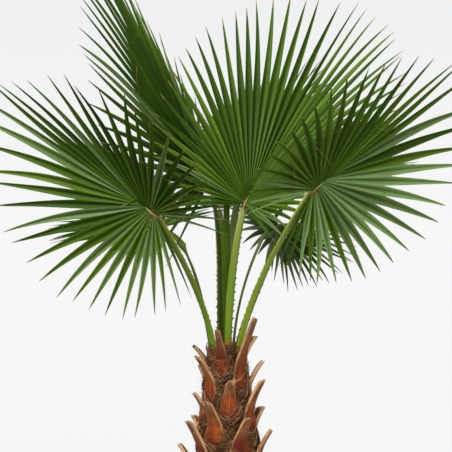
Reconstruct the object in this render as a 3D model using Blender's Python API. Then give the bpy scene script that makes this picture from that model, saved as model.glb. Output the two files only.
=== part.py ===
"""Potted fan palm: a filled clay pot, a tapering trunk clad in cut leaf bases, and a crown of
pleated fan leaves on arching stalks round a folded young leaf. Metres, +Z up."""

import math
from dataclasses import dataclass

import bmesh
import bpy
import numpy as np
from mathutils import Vector

# ---- pot and soil -------------------------------------------------------------------------
POT_HEIGHT = 0.380
POT_RIM_RADIUS = 0.224
POT_FOOT_RADIUS = 0.158
POT_WALL = 0.013
POT_FLOOR = 0.018
RIM_BAND_HEIGHT = 0.052
RIM_BAND_STEP = 0.011
SOIL_LEVEL = 0.350
SOIL_MOUND = 0.012
POT_SIDES = 48

# ---- trunk --------------------------------------------------------------------------------
TRUNK_BASE = SOIL_LEVEL + 0.0005
TRUNK_TOP = 0.930
TRUNK_FOOT_X = 0.014
TRUNK_CROWN_X = -0.006
TRUNK_CROWN_Y = 0.004
TRUNK_SIDES = 24
# height and core radius, from the root flare up to the neck inside the stalks
TRUNK_PROFILE = (
    (TRUNK_BASE, 0.134),
    (0.366, 0.126),
    (0.390, 0.116),
    (0.430, 0.109),
    (0.500, 0.101),
    (0.600, 0.092),
    (0.698, 0.080),
    (0.762, 0.071),
    (0.826, 0.063),
    (0.888, 0.055),
    (0.9020, 0.0545),
    (0.9024, 0.034),
    (TRUNK_TOP, 0.025),
)

# ---- cut leaf bases, in one golden-angle spiral -------------------------------------------
BOOTS = 29
BOOT_TURN = 137.5
BOOT_DROP = 0.0166
BOOT_FIRST_TURN = -15.0
BOOT_FIRST_HEIGHT = 0.903
BOOT_FOOT = 0.066
BOOT_HALF_ANGLE = 26.5
BOOT_THICKNESS = 0.0105
BOOT_LEAN = 0.66
BOOT_GAP = 0.0008
BOOT_STUB = 0.062
BOOT_LONG_STUBS = {
    0: 0.088,
    3: 0.178,
    5: 0.085,
    11: 0.108,
    16: 0.080,
    18: 0.100,
    19: 0.082,
    23: 0.092,
}

# ---- stalks ---------------------------------------------------------------------------------
OUTER_RING = 0.0462
INNER_RING = 0.0225
OUTER_START = 0.9028
INNER_START = TRUNK_TOP + 0.0004
STALK_FOOT_WIDTH = 0.034
STALK_INNER_WIDTH = 0.023
STALK_WIDTH = 0.026
STALK_THICKNESS = 0.0115
STALK_STEPS = 10
# a stalk's section, across and through it: rounded outside, channelled on the inner face
STALK_SECTION = (
    (-1.0, 0.0),
    (-0.55, 0.85),
    (0.0, 1.0),
    (0.55, 0.85),
    (1.0, 0.0),
    (0.5, -0.7),
    (0.0, -0.55),
    (-0.5, -0.7),
)
HUB_PAST = 0.006
HUB_GAP = 0.0004
STALK_TIP_THICKNESS = 0.0037

# ---- fans -----------------------------------------------------------------------------------
BLADE_SHARE = 0.0102
PLEAT_DEPTH = 0.34
SPLIT_SHARE = 0.47
CLEAR_OF_OTHERS = 0.024

LEAF_GREEN = (0.055, 0.125, 0.022)
DEEP_GREEN = (0.038, 0.092, 0.020)
STALK_GREEN = (0.150, 0.235, 0.030)


@dataclass(frozen=True)
class Frond:
    """One leaf: where its stalk starts, where its hub hangs, and how its fan is held."""

    name: str
    ring: float
    turn: float
    hub: tuple
    heading: float
    pitch: float
    roll: float
    reach: float
    fold: float
    leaflets: int
    spread: float
    evenness: float
    bunching: float
    shortening: float
    falloff: float
    costa: float


FRONDS = (
    Frond(
        "left", OUTER_RING, -52, (-0.224, -0.180, 1.356), 167, 34, 117, 0.690, 18,
        39, 153, 0.59, 1.4, 0.61, 0.64, 0.10,
    ),
    Frond(
        "right", OUTER_RING, 54, (0.256, -0.225, 1.428), 10, 36, 238, 0.600, 16,
        39, 155, 0.85, 1.4, 0.594, 0.64, 0.14,
    ),
    Frond(
        "centre", INNER_RING, 15, (0.052, 0.020, 1.390), 45, 52, 326, 0.880, 31,
        49, 128, 0.77, 3.2, 0.74, 0.95, 0.07,
    ),
    Frond(
        "tall", INNER_RING, -130, (-0.067, 0.190, 1.459), -146, 59, -128, 0.795, 9,
        43, 104, 0.55, 2.8, 0.45, 0.95, 0.20,
    ),
    Frond(
        "low_right", OUTER_RING, 130, (0.168, 0.156, 1.324), 83, -28, -22, 0.440, 12,
        31, 118, 0.50, 2.4, 0.48, 0.75, 0.16,
    ),
    Frond(
        "low_left", OUTER_RING, -104, (-0.225, 0.105, 1.312), 138, -6, 2, 0.470, 14,
        31, 130, 0.45, 2.2, 0.48, 0.80, 0.14,
    ),
    Frond(
        "back", INNER_RING, 172, (0.070, 0.262, 1.520), 58, 42, 8, 0.580, 18,
        31, 84, 0.42, 2.2, 0.50, 0.85, 0.14,
    ),
    Frond(
        "back_left", OUTER_RING, -165, (-0.030, 0.350, 1.378), 92, 5, 0, 0.500, 14,
        31, 104, 0.42, 2.2, 0.50, 0.85, 0.14,
    ),
    Frond(
        "back_right", INNER_RING, 85, (0.250, 0.100, 1.440), 38, 14, -14, 0.480, 18,
        31, 118, 0.42, 2.2, 0.50, 0.85, 0.14,
    ),
)

# ---- the folded young leaf ---------------------------------------------------------------------
SPEAR_TOP = (0.002, 0.145, 1.600)
SPEAR_BEND = (-0.010, 0.058, 1.300)
SPEAR_RADIUS = 0.0105
SPEAR_PLEATS = 7
# share of the spear's length, and its width there
SPEAR_PROFILE = (
    (0.0, 1.0),
    (0.15, 1.05),
    (0.35, 1.15),
    (0.55, 1.2),
    (0.75, 0.95),
    (0.9, 0.55),
    (1.0, 0.15),
)


def clear_scene():
    for thing in list(bpy.data.objects):
        bpy.data.objects.remove(thing, do_unlink=True)


def finish(name, colour, roughness):
    material = bpy.data.materials.new(name)
    material.use_nodes = True
    shader = material.node_tree.nodes["Principled BSDF"]
    shader.inputs["Base Color"].default_value = (*colour, 1.0)
    shader.inputs["Roughness"].default_value = roughness
    return material


def place(name, mesh_bm, material):
    bmesh.ops.recalc_face_normals(mesh_bm, faces=mesh_bm.faces)
    mesh = bpy.data.meshes.new(name)
    mesh_bm.to_mesh(mesh)
    mesh_bm.free()
    mesh.materials.append(material)
    thing = bpy.data.objects.new(name, mesh)
    bpy.context.scene.collection.objects.link(thing)
    return thing


def loft(name, rings, material):
    """A closed body through rings of equal count, with a flat cap at each end."""
    bm = bmesh.new()
    rows = [[bm.verts.new(point) for point in ring] for ring in rings]
    for low, high in zip(rows, rows[1:]):
        count = len(low)
        for i in range(count):
            j = (i + 1) % count
            bm.faces.new((low[i], low[j], high[j], high[i]))
    bm.faces.new(rows[0][::-1])
    bm.faces.new(rows[-1])
    return place(name, bm, material)


def turned(name, outline, sides, material):
    """A body turned about Z from an outline whose two ends lie on the axis."""
    bm = bmesh.new()
    rows = []
    for radius, height in outline:
        if radius == 0.0:
            rows.append([bm.verts.new((0.0, 0.0, height))])
            continue
        ring = []
        for i in range(sides):
            angle = 2.0 * math.pi * i / sides
            ring.append(bm.verts.new((radius * math.cos(angle), radius * math.sin(angle), height)))
        rows.append(ring)
    for low, high in zip(rows, rows[1:]):
        for i in range(sides):
            j = (i + 1) % sides
            if len(low) == 1:
                bm.faces.new((low[0], high[j], high[i]))
            elif len(high) == 1:
                bm.faces.new((low[i], low[j], high[0]))
            else:
                bm.faces.new((low[i], low[j], high[j], high[i]))
    return place(name, bm, material)


# ---- pot, soil, trunk -----------------------------------------------------------------------


def pot_wall_radius(height):
    """Outer radius of the pot's tapering wall under its rim band."""
    share = height / (POT_HEIGHT - RIM_BAND_HEIGHT)
    return POT_FOOT_RADIUS + (POT_RIM_RADIUS - RIM_BAND_STEP - POT_FOOT_RADIUS) * share


def build_pot(material):
    band = POT_HEIGHT - RIM_BAND_HEIGHT
    inner_top = POT_RIM_RADIUS - POT_WALL
    outline = (
        (0.0, 0.0),
        (POT_FOOT_RADIUS - 0.004, 0.0),
        (POT_FOOT_RADIUS, 0.004),
        (pot_wall_radius(band * 0.5), band * 0.5),
        (pot_wall_radius(band), band),
        (POT_RIM_RADIUS - 0.004, band + 0.004),
        (POT_RIM_RADIUS, POT_HEIGHT - 0.006),
        (POT_RIM_RADIUS - 0.004, POT_HEIGHT),
        (inner_top + 0.004, POT_HEIGHT),
        (inner_top, POT_HEIGHT - 0.006),
        (pot_wall_radius(band) - POT_WALL, band),
        (POT_FOOT_RADIUS - POT_WALL, POT_FLOOR),
        (0.0, POT_FLOOR),
    )
    return turned("pot", outline, POT_SIDES, material)


def build_soil(material):
    gap = 0.0006 / math.cos(math.pi / POT_SIDES) + 0.0006
    band = POT_HEIGHT - RIM_BAND_HEIGHT
    rim_inner = pot_wall_radius(band) - POT_WALL
    flat = TRUNK_PROFILE[0][1] + abs(TRUNK_FOOT_X) + 0.004
    outline = (
        (0.0, POT_FLOOR + 0.0006),
        (POT_FOOT_RADIUS - POT_WALL - gap, POT_FLOOR + 0.0006),
        (rim_inner - gap, band - 0.001),
        (rim_inner - gap + 0.003, SOIL_LEVEL - SOIL_MOUND),
        (flat + 0.02, SOIL_LEVEL - 0.003),
        (flat, SOIL_LEVEL),
        (0.0, SOIL_LEVEL),
    )
    return turned("soil", outline, POT_SIDES, material)


def trunk_radius(height):
    heights = [row[0] for row in TRUNK_PROFILE]
    radii = [row[1] for row in TRUNK_PROFILE]
    return float(np.interp(height, heights, radii))


def trunk_centre(height):
    """The axis leans from the pot's centre towards the crown, with a slight bow."""
    share = (height - TRUNK_BASE) / (TRUNK_TOP - TRUNK_BASE)
    share = min(max(share, 0.0), 1.3)
    bow = 0.004 * math.sin(math.pi * min(share, 1.0))
    x = TRUNK_FOOT_X + (TRUNK_CROWN_X - TRUNK_FOOT_X) * share - bow
    return Vector((x, TRUNK_CROWN_Y * share, height))


def build_trunk(material):
    rings = []
    for height, radius in TRUNK_PROFILE:
        centre = trunk_centre(height)
        ring = []
        for i in range(TRUNK_SIDES):
            angle = 2.0 * math.pi * i / TRUNK_SIDES
            ring.append(centre + Vector((math.cos(angle), math.sin(angle), 0.0)) * radius)
        rings.append(ring)
    return loft("trunk", rings, material)


# ---- cut leaf bases ----------------------------------------------------------------------------


def outward(turn):
    """Unit vector away from the axis; a turn of 0 faces -Y and 90 faces +X."""
    return Vector((math.sin(turn), -math.cos(turn), 0.0))


def boot_rings(index):
    """Sections of one leaf base: a broad foot that hugs the trunk, then a cut stub leaning off it."""
    turn = math.radians(BOOT_FIRST_TURN + BOOT_TURN * index)
    level = BOOT_FIRST_HEIGHT - BOOT_DROP * index
    wobble = math.sin(7.31 * index + 1.3)
    stub = BOOT_LONG_STUBS.get(index, BOOT_STUB + 0.016 * wobble)
    foot = min(BOOT_FOOT, level - TRUNK_BASE - 0.012)
    half = math.radians(BOOT_HALF_ANGLE)
    grown = trunk_radius(level) / 0.075
    stub_half = 0.0165 * min(max(grown, 0.85), 1.25)
    swing = 0.10 * math.sin(3.17 * index + 0.4)
    rows = (
        (-foot, 0.60 * half, 0.45),
        (-0.70 * foot, half, 0.85),
        (-0.30 * foot, 0.86 * half, 1.0),
        (0.010, None, 1.0),
        (0.5 * stub, None, 1.0),
        (stub, None, 0.80),
    )
    rings = []
    for height, spread, thick in rows:
        z = level + height
        core = max(trunk_radius(min(z, 0.888)), 0.055)
        centre = trunk_centre(z)
        lift = BOOT_LEAN * max(height - 0.004, 0.0)
        width_angle = spread
        if spread is None:
            width_angle = stub_half * (1.0 - 0.30 * height / stub) / (core + lift)
        lean_turn = turn + swing * max(height, 0.0) / 0.08
        depth = BOOT_THICKNESS * thick
        inner = (core + BOOT_GAP) / math.cos(width_angle * 0.5) + lift
        ring = []
        for share, bulge in ((-1.0, 0.35), (-0.42, 1.0), (0.42, 1.0), (1.0, 0.35)):
            angle = lean_turn + width_angle * share
            ring.append(centre + outward(angle) * (inner + depth * bulge))
        for share in (0.94, 0.0, -0.94):
            ring.append(centre + outward(lean_turn + width_angle * share) * inner)
        rings.append(ring)
    return rings


def build_boots(material):
    return [loft(f"boot_{i:02d}", boot_rings(i), material) for i in range(BOOTS)]


# ---- fan geometry --------------------------------------------------------------------------------


def fan_axes(frond):
    """Costa direction, sideways direction and upper-face normal of a fan."""
    heading, pitch, roll = (math.radians(v) for v in (frond.heading, frond.pitch, frond.roll))
    level = math.cos(pitch)
    along = np.array((level * math.cos(heading), level * math.sin(heading), math.sin(pitch)))
    side = np.cross(along, (0.0, 0.0, 1.0))
    side /= np.linalg.norm(side)
    up = np.cross(side, along)
    c, s = math.cos(roll), math.sin(roll)
    return along, side * c + up * s, up * c - side * s


def fan_direction(frond, axes, place_in_fan):
    """Leaflet direction, length and start offset at a place from -1 to 1 across the fan."""
    along, side, normal = axes
    size = abs(place_in_fan)
    sign = math.copysign(1.0, place_in_fan) if size > 1e-9 else 0.0
    blend = frond.evenness * size + (1.0 - frond.evenness) * size**frond.bunching
    angle = math.radians(frond.spread) * blend
    fold = math.radians(frond.fold)
    direction = along * math.cos(angle)
    direction = direction + math.sin(angle) * (side * math.cos(fold) * sign + normal * math.sin(fold))
    direction /= np.linalg.norm(direction)
    length = frond.reach * (1.0 - frond.shortening * size**frond.falloff)
    start = frond.costa * frond.reach * (1.0 - size) ** 1.5
    return direction, length, start


def fan_layout(frond):
    """Bases, directions, lengths and normals of the ribs, and of the ridges between them."""
    axes = fan_axes(frond)
    hub = np.array(frond.hub)
    count = frond.leaflets
    places = np.linspace(-1.0, 1.0, 2 * count + 1)
    rows = [fan_direction(frond, axes, float(p)) for p in places]
    directions = np.array([row[0] for row in rows])
    lengths = np.array([row[1] for row in rows])
    bases = hub + np.outer([row[2] for row in rows], axes[0])
    across = np.gradient(directions, axis=0)
    normals = np.cross(across, directions)
    normals *= np.sign(normals @ axes[2] + 1e-12)[:, None]
    middle = count
    normals[middle] = axes[2]
    normals /= np.linalg.norm(normals, axis=1)[:, None]
    return places, bases, directions, lengths, normals, axes


def segments_of(points):
    return np.stack([points[:-1], points[1:]], axis=1)


def distance_to_segments(points, segments):
    """Least distance of each point to any of the segments."""
    a = segments[:, 0][None]
    ab = (segments[:, 1] - segments[:, 0])[None]
    ap = points[:, None] - a
    share = np.clip((ap * ab).sum(2) / (ab * ab).sum(2), 0.0, 1.0)
    return np.linalg.norm(ap - ab * share[..., None], axis=2).min(1)


def clear_lengths(frond, layout, obstacles):
    """Each leaflet's length, cut back where its free part would meet another frond."""
    _, bases, directions, lengths, _, _ = layout
    ribs = lengths[1::2].copy()
    if not obstacles:
        return ribs
    segments = np.concatenate(obstacles)
    steps = np.linspace(SPLIT_SHARE, 1.0, 16)
    for i in range(frond.leaflets):
        k = 2 * i + 1
        points = bases[k] + directions[k] * (lengths[k] * steps)[:, None]
        near = distance_to_segments(points, segments) < CLEAR_OF_OTHERS
        if near.any():
            ribs[i] = lengths[k] * max(steps[int(near.argmax())] - 0.06, SPLIT_SHARE + 0.08)
    return ribs


def build_fan(frond, rib_lengths, layout, material):
    """A pleated blade, split between its leaflets from half way out, as one closed body."""
    _, bases, directions, lengths, normals, axes = layout
    count = frond.leaflets
    half = 0.5 * BLADE_SHARE * frond.reach
    bm = bmesh.new()
    root_pairs = {}

    def pair(point, normal):
        return (
            bm.verts.new(tuple(point + normal * half)),
            bm.verts.new(tuple(point - normal * half)),
        )

    def root(index):
        key = abs(index - count)
        if key not in root_pairs:
            root_pairs[key] = pair(bases[index], axes[2])
        return root_pairs[key]

    def both_sides(a, b, c, d=None):
        """One face on the upper side and its twin below, from vertex pairs."""
        corners = (a, b, c) if d is None else (a, b, c, d)
        bm.faces.new([p[0] for p in corners])
        bm.faces.new([p[1] for p in reversed(corners)])

    def wall(a, b):
        bm.faces.new((a[0], a[1], b[1], b[0]))

    split = lengths * SPLIT_SHARE
    spacing = np.linalg.norm(np.gradient(directions, axis=0), axis=1) * 2.0
    ridges = {}
    for k in range(0, 2 * count + 1, 2):
        height = 0.5 * PLEAT_DEPTH * spacing[k] * split[k]
        point = bases[k] + directions[k] * split[k] + normals[k] * height
        ridges[k] = pair(point, normals[k])
    for i in range(count):
        k = 2 * i + 1
        depth = 0.5 * PLEAT_DEPTH * spacing[k] * split[k]
        rib = pair(bases[k] + directions[k] * split[k] - normals[k] * depth, normals[k])
        left, right = ridges[k - 1], ridges[k + 1]
        both_sides(root(k - 1), left, rib, root(k))
        both_sides(root(k), rib, right, root(k + 1))
        middle = 0.5 * (split[k] + rib_lengths[i])
        across = np.cross(normals[k], directions[k])
        across *= np.sign(across @ (directions[k + 1] - directions[k - 1]))
        reach = 0.5 * (rib_lengths[i] - split[k]) / (lengths[k] - split[k])
        width = 0.5 * spacing[k] * split[k] * (1.0 - 0.62 * reach)
        centre = bases[k] + directions[k] * middle
        mid_rib = pair(centre - normals[k] * depth * 0.6, normals[k])
        mid_left = pair(centre - across * width + normals[k] * depth * 0.5, normals[k])
        mid_right = pair(centre + across * width + normals[k] * depth * 0.5, normals[k])
        tip = pair(bases[k] + directions[k] * rib_lengths[i], normals[k] * 0.35)
        both_sides(left, mid_left, mid_rib, rib)
        both_sides(rib, mid_rib, mid_right, right)
        both_sides(mid_left, tip, mid_rib)
        both_sides(mid_rib, tip, mid_right)
        wall(left, mid_left)
        wall(mid_left, tip)
        wall(tip, mid_right)
        wall(mid_right, right)
    wall(root(0), ridges[0])
    wall(ridges[2 * count], root(2 * count))
    return place(f"fan_{frond.name}", bm, material)


# ---- stalks ----------------------------------------------------------------------------------------


def bezier(points, share):
    a, b, c, d = points
    s = 1.0 - share
    return a * s**3 + b * 3 * s * s * share + c * 3 * s * share**2 + d * share**3


def stalk_curve(frond):
    """Control points from the stalk's foot on the trunk to just under its hub."""
    turn = math.radians(frond.turn)
    outer = frond.ring == OUTER_RING
    foot_height = OUTER_START if outer else INNER_START
    foot = trunk_centre(foot_height) + outward(turn) * frond.ring
    hub = Vector(frond.hub)
    along = Vector(fan_axes(frond)[0])
    straight = (hub - foot).normalized()
    arrive = (straight * 0.75 + along * 0.25).normalized()
    normal = Vector(fan_axes(frond)[2])
    arrive = (arrive - normal * arrive.dot(normal)).normalized()
    half = 0.5 * BLADE_SHARE * frond.reach
    near_side = STALK_TIP_THICKNESS * (1.0 if normal.dot(outward(turn)) > 0.0 else 0.7)
    end = hub + arrive * HUB_PAST - normal * (half + near_side + HUB_GAP)
    span = (end - foot).length
    rise = (Vector((0.0, 0.0, 1.0)) + outward(turn) * (0.16 if outer else 0.04)).normalized()
    return foot, foot + rise * span * 0.36, end - arrive * span * 0.30, end


def stalk_rings(frond):
    """Lens-shaped sections, broad at the foot, that keep the face they start with."""
    control = stalk_curve(frond)
    turn = math.radians(frond.turn)
    outer = frond.ring == OUTER_RING
    foot_width = STALK_FOOT_WIDTH if outer else STALK_INNER_WIDTH
    start_face = outward(turn)
    normal = Vector(fan_axes(frond)[2])
    end_face = normal if normal.dot(start_face) > 0.0 else -normal
    rings = []
    for step in range(STALK_STEPS + 1):
        share = step / STALK_STEPS
        centre = bezier(control, share)
        ahead = bezier(control, min(share + 0.02, 1.0)) - bezier(control, max(share - 0.02, 0.0))
        ahead.normalize()
        face = start_face.lerp(end_face, share**1.3)
        face = (face - ahead * face.dot(ahead)).normalized()
        if step == 0:
            ahead = Vector((0.0, 0.0, 1.0))
            face = start_face
        sideways = ahead.cross(face).normalized()
        blend = min(share / 0.3, 1.0)
        width = 0.5 * (foot_width + (STALK_WIDTH - foot_width) * blend)
        width *= 1.0 - 0.24 * max(share - 0.3, 0.0)
        thick = 0.5 * STALK_THICKNESS * (1.0 - 0.12 * share)
        if share == 1.0:
            width *= 0.7
            thick = STALK_TIP_THICKNESS
            face = end_face
            sideways = ahead.cross(face).normalized()
        ring = []
        for across, through in STALK_SECTION:
            ring.append(centre + sideways * width * across + face * thick * through)
        rings.append(ring)
    return rings


def stalk_segments(frond):
    control = stalk_curve(frond)
    points = np.array([bezier(control, s / 12.0) for s in range(13)])
    return segments_of(points)


def spear_curve():
    foot = trunk_centre(INNER_START)
    return foot, foot + Vector((0.0, 0.0, 0.16)), Vector(SPEAR_BEND), Vector(SPEAR_TOP)


def spear_segments():
    return segments_of(np.array([bezier(spear_curve(), s / 12.0) for s in range(13)]))


def spear_rings():
    """The young leaf, still folded: a star-shaped rod that tapers to a point."""
    control = spear_curve()
    sides = 2 * SPEAR_PLEATS
    rings = []
    for share, swell in SPEAR_PROFILE:
        centre = bezier(control, share)
        width = SPEAR_RADIUS * swell
        ring = []
        for i in range(sides):
            angle = 2.0 * math.pi * i / sides
            radius = width * (1.0 if i % 2 == 0 else 0.78)
            ring.append(centre + Vector((math.cos(angle), 0.8 * math.sin(angle), 0.0)) * radius)
        rings.append(ring)
    return rings


def main():
    clear_scene()
    clay = finish("clay", (0.45, 0.17, 0.085), 0.8)
    earth = finish("earth", (0.045, 0.028, 0.018), 0.95)
    matting = finish("fibre", (0.16, 0.095, 0.050), 0.9)
    husk = finish("husk", (0.26, 0.085, 0.035), 0.7)
    stalk = finish("stalk", STALK_GREEN, 0.45)
    leaf = finish("leaf", LEAF_GREEN, 0.5)
    young = finish("young_leaf", DEEP_GREEN, 0.5)
    build_pot(clay)
    build_soil(earth)
    build_trunk(matting)
    build_boots(husk)
    loft("spear", spear_rings(), young)
    stalks = {frond.name: stalk_segments(frond) for frond in FRONDS}
    stalks["spear"] = spear_segments()
    placed = []
    for frond in FRONDS:
        loft(f"stalk_{frond.name}", stalk_rings(frond), stalk)
        layout = fan_layout(frond)
        others = [segments for name, segments in stalks.items() if name != frond.name]
        ribs = clear_lengths(frond, layout, others + placed)
        build_fan(frond, ribs, layout, leaf)
        _, bases, directions, _, _, _ = layout
        steps = np.linspace(0.0, 1.0, 7)
        for i in range(frond.leaflets):
            k = 2 * i + 1
            points = bases[k] + directions[k] * (ribs[i] * steps)[:, None]
            placed.append(segments_of(points))


main()
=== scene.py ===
"""Dresses the potted fan palm: pleated leaflets, thorny stalks, a husked trunk and a filled pot."""

import logging
import math
from collections.abc import Iterator, Sequence
from dataclasses import dataclass, field
from enum import Enum

import bmesh
import bpy
import numpy as np
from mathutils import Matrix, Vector, noise


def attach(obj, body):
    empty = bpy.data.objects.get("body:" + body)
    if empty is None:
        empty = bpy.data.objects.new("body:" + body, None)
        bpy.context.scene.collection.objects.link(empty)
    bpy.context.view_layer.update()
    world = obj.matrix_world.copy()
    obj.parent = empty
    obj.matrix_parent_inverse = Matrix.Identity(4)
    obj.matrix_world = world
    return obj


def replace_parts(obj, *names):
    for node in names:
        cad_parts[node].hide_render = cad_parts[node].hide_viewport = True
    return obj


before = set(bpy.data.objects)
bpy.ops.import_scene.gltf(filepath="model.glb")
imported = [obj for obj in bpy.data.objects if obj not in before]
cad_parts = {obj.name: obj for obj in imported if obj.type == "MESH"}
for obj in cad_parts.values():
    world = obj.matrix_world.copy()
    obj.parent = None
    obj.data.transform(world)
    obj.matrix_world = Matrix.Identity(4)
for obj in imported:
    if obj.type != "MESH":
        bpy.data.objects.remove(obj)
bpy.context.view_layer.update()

LOG = logging.getLogger("palm")
BODY = "root"
SEED = 20_417

Colour = tuple[float, float, float]
Shares = tuple[float, float, float, float, float]
Array = np.ndarray
Limits = tuple[float, float]
Relief = tuple[object, float, float]
BLACK: Colour = (0.0, 0.0, 0.0)


# ---- pot and soil
POT_HEIGHT = 0.380
POT_RIM_RADIUS = 0.224
POT_FOOT_RADIUS = 0.158
POT_WALL = 0.013
POT_FLOOR = 0.018
RIM_BAND_HEIGHT = 0.052
RIM_BAND_STEP = 0.011
SOIL_LEVEL = 0.350

# ---- trunk and its leaf bases
TRUNK_BASE = SOIL_LEVEL + 0.0005
TRUNK_TOP = 0.930
TRUNK_FOOT_X = 0.014
TRUNK_CROWN_X = -0.006
TRUNK_CROWN_Y = 0.004
TRUNK_PROFILE = (
    (TRUNK_BASE, 0.134),
    (0.366, 0.126),
    (0.390, 0.116),
    (0.430, 0.109),
    (0.500, 0.101),
    (0.600, 0.092),
    (0.698, 0.080),
    (0.762, 0.071),
    (0.826, 0.063),
    (0.888, 0.055),
    (0.9020, 0.0545),
    (0.9024, 0.034),
    (TRUNK_TOP, 0.025),
)
PROFILE_HEIGHTS = [row[0] for row in TRUNK_PROFILE]
PROFILE_RADII = [row[1] for row in TRUNK_PROFILE]
BOOTS = 29
BOOT_TURN = 137.5
BOOT_DROP = 0.0166
BOOT_FIRST_TURN = -15.0
BOOT_FIRST_HEIGHT = 0.903
BOOT_FOOT = 0.066
BOOT_HALF_ANGLE = 26.5
BOOT_THICKNESS = 0.0105
BOOT_LEAN = 0.66
BOOT_STUB = 0.062
BOOT_LONG_STUBS = {0: 0.088, 3: 0.178, 5: 0.085, 11: 0.108, 16: 0.080, 18: 0.100, 19: 0.082, 23: 0.092}
CLAD_TOP = 0.888
CLAD_RADIUS = 0.055

# ---- stalks and fans
OUTER_RING = 0.0462
INNER_RING = 0.0225
OUTER_START = 0.9028
INNER_START = TRUNK_TOP + 0.0004
STALK_FOOT_WIDTH = 0.034
STALK_INNER_WIDTH = 0.023
STALK_WIDTH = 0.026
STALK_THICKNESS = 0.0115
HUB_PAST = 0.006
HUB_GAP = 0.0004
STALK_TIP_THICKNESS = 0.0037
BLADE_SHARE = 0.0102
SPLIT_SHARE = 0.50
CLEAR_OF_OTHERS = 0.006
LEAFLET_WIDEST = 0.0265
LEAFLET_NARROWEST = 0.011
LEAFLET_THICKNESS = 0.0007
SPEAR_TOP = (0.002, 0.145, 1.600)
SPEAR_BEND = (-0.010, 0.058, 1.300)
SPEAR_RADIUS = 0.0105


class Tone(Enum):
    """The named greens that leaflets are dealt from. The pale and waxy greens are partly painted light:
    lighter copies of the green, and the waxy one carries a painted bluish sheen.
    """

    DEEP = "deep"
    MIDDLE = "middle"
    FRESH = "fresh"
    WAXY_SHEEN = "waxy"
    PALE = "pale"
    RIB = "rib"
    TIP = "tip"


@dataclass(frozen=True)
class Frond:
    """One leaf: where its stalk starts, where its hub hangs, and how its fan is held.

    ring and turn place the stalk's foot, and hub its other end. heading, pitch and roll turn the
    fan, in degrees. reach is its longest leaflet, fold its keel and spread its half angle. evenness
    and bunching deal the leaflets out over that angle, and shortening and falloff shorten the outer
    ones. costa is the share of the reach that the middle ones start along. tones deals the greens
    from the first leaflet on, and far_tones towards the last one, where it is another mixture. The
    mixtures are partly painted light: paler greens go where a blade faces the light, and deeper
    greens where it faces away.
    """

    name: str
    ring: float
    turn: float
    hub: tuple[float, float, float]
    heading: float
    pitch: float
    roll: float
    reach: float
    fold: float
    leaflets: int
    spread: float
    evenness: float
    bunching: float
    shortening: float
    falloff: float
    costa: float
    tones: Shares
    far_tones: Shares | None = None


TONES_BEHIND: Shares = (0.08, 0.26, 0.16, 0.34, 0.16)
# tones and far_tones are partly painted light: the halves of the left and right fans that face the light,
# and the shaded low_right fan, take paler and waxier greens; the halves that face away and the centre fan
# take deeper ones
FRONDS = (
    Frond(
        "left", OUTER_RING, -52, (-0.224, -0.180, 1.356), 167, 34, 117, 0.690, 18, 39, 153, 0.59, 1.4,
        0.61, 0.64, 0.10, (0.12, 0.42, 0.08, 0.36, 0.02), (0.50, 0.38, 0.04, 0.08, 0.00),
    ),
    Frond(
        "right", OUTER_RING, 54, (0.256, -0.225, 1.428), 10, 36, 238, 0.600, 16, 39, 155, 0.85, 1.4,
        0.594, 0.64, 0.14, (0.40, 0.40, 0.08, 0.10, 0.02), (0.00, 0.06, 0.14, 0.38, 0.42),
    ),
    Frond(
        "centre", INNER_RING, 15, (0.052, 0.020, 1.390), 45, 52, 326, 0.880, 31, 49, 128, 0.77, 3.2,
        0.74, 0.95, 0.07, (0.62, 0.30, 0.08, 0.00, 0.00), (0.22, 0.40, 0.22, 0.16, 0.00),
    ),
    Frond(
        "tall", INNER_RING, -130, (-0.067, 0.190, 1.459), -146, 59, -128, 0.795, 9, 43, 104, 0.55, 2.8,
        0.45, 0.95, 0.20, (0.46, 0.38, 0.10, 0.06, 0.00),
    ),
    Frond(
        "low_right", OUTER_RING, 130, (0.168, 0.156, 1.324), 83, -28, -22, 0.440, 12, 31, 118, 0.50, 2.4,
        0.48, 0.75, 0.16, (0.00, 0.10, 0.10, 0.40, 0.40),
    ),
    Frond(
        "low_left", OUTER_RING, -104, (-0.225, 0.105, 1.312), 138, -6, 2, 0.470, 14, 31, 130, 0.45, 2.2,
        0.48, 0.80, 0.14, (0.16, 0.30, 0.18, 0.26, 0.10),
    ),
    Frond(
        "back", INNER_RING, 172, (0.070, 0.262, 1.520), 58, 42, 8, 0.580, 18, 31, 84, 0.42, 2.2,
        0.50, 0.85, 0.14, TONES_BEHIND,
    ),
    Frond(
        "back_left", OUTER_RING, -165, (-0.030, 0.350, 1.378), 92, 5, 0, 0.500, 14, 31, 104, 0.42, 2.2,
        0.50, 0.85, 0.14, TONES_BEHIND,
    ),
    Frond(
        "back_right", INNER_RING, 85, (0.250, 0.100, 1.440), 38, 14, -14, 0.480, 18, 31, 118, 0.42, 2.2,
        0.50, 0.85, 0.14, TONES_BEHIND,
    ),
)


# ---- the growth rule


def outward(turn: float) -> Vector:
    """Unit vector away from the axis; a turn of 0 faces -Y and 90 degrees faces +X."""
    return Vector((math.sin(turn), -math.cos(turn), 0.0))


def trunk_radius(height: float) -> float:
    """Core radius of the trunk at a height."""
    return float(np.interp(height, PROFILE_HEIGHTS, PROFILE_RADII))


def clad_radius(height: float) -> float:
    """The core's radius as the leaf bases sit on it, without its narrow top."""
    return max(trunk_radius(min(height, CLAD_TOP)), CLAD_RADIUS)


def boot_seat(index: int) -> tuple[float, float, float]:
    """Where the spiral puts a leaf base.

    Args:
        index: Its place in the spiral, from the crown down.

    Returns:
        Its turn in radians, its shoulder's height, and how far its foot reaches below that.
    """
    level = BOOT_FIRST_HEIGHT - BOOT_DROP * index
    foot = min(BOOT_FOOT, level - TRUNK_BASE - 0.012)
    return math.radians(BOOT_FIRST_TURN + BOOT_TURN * index), level, foot


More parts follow.
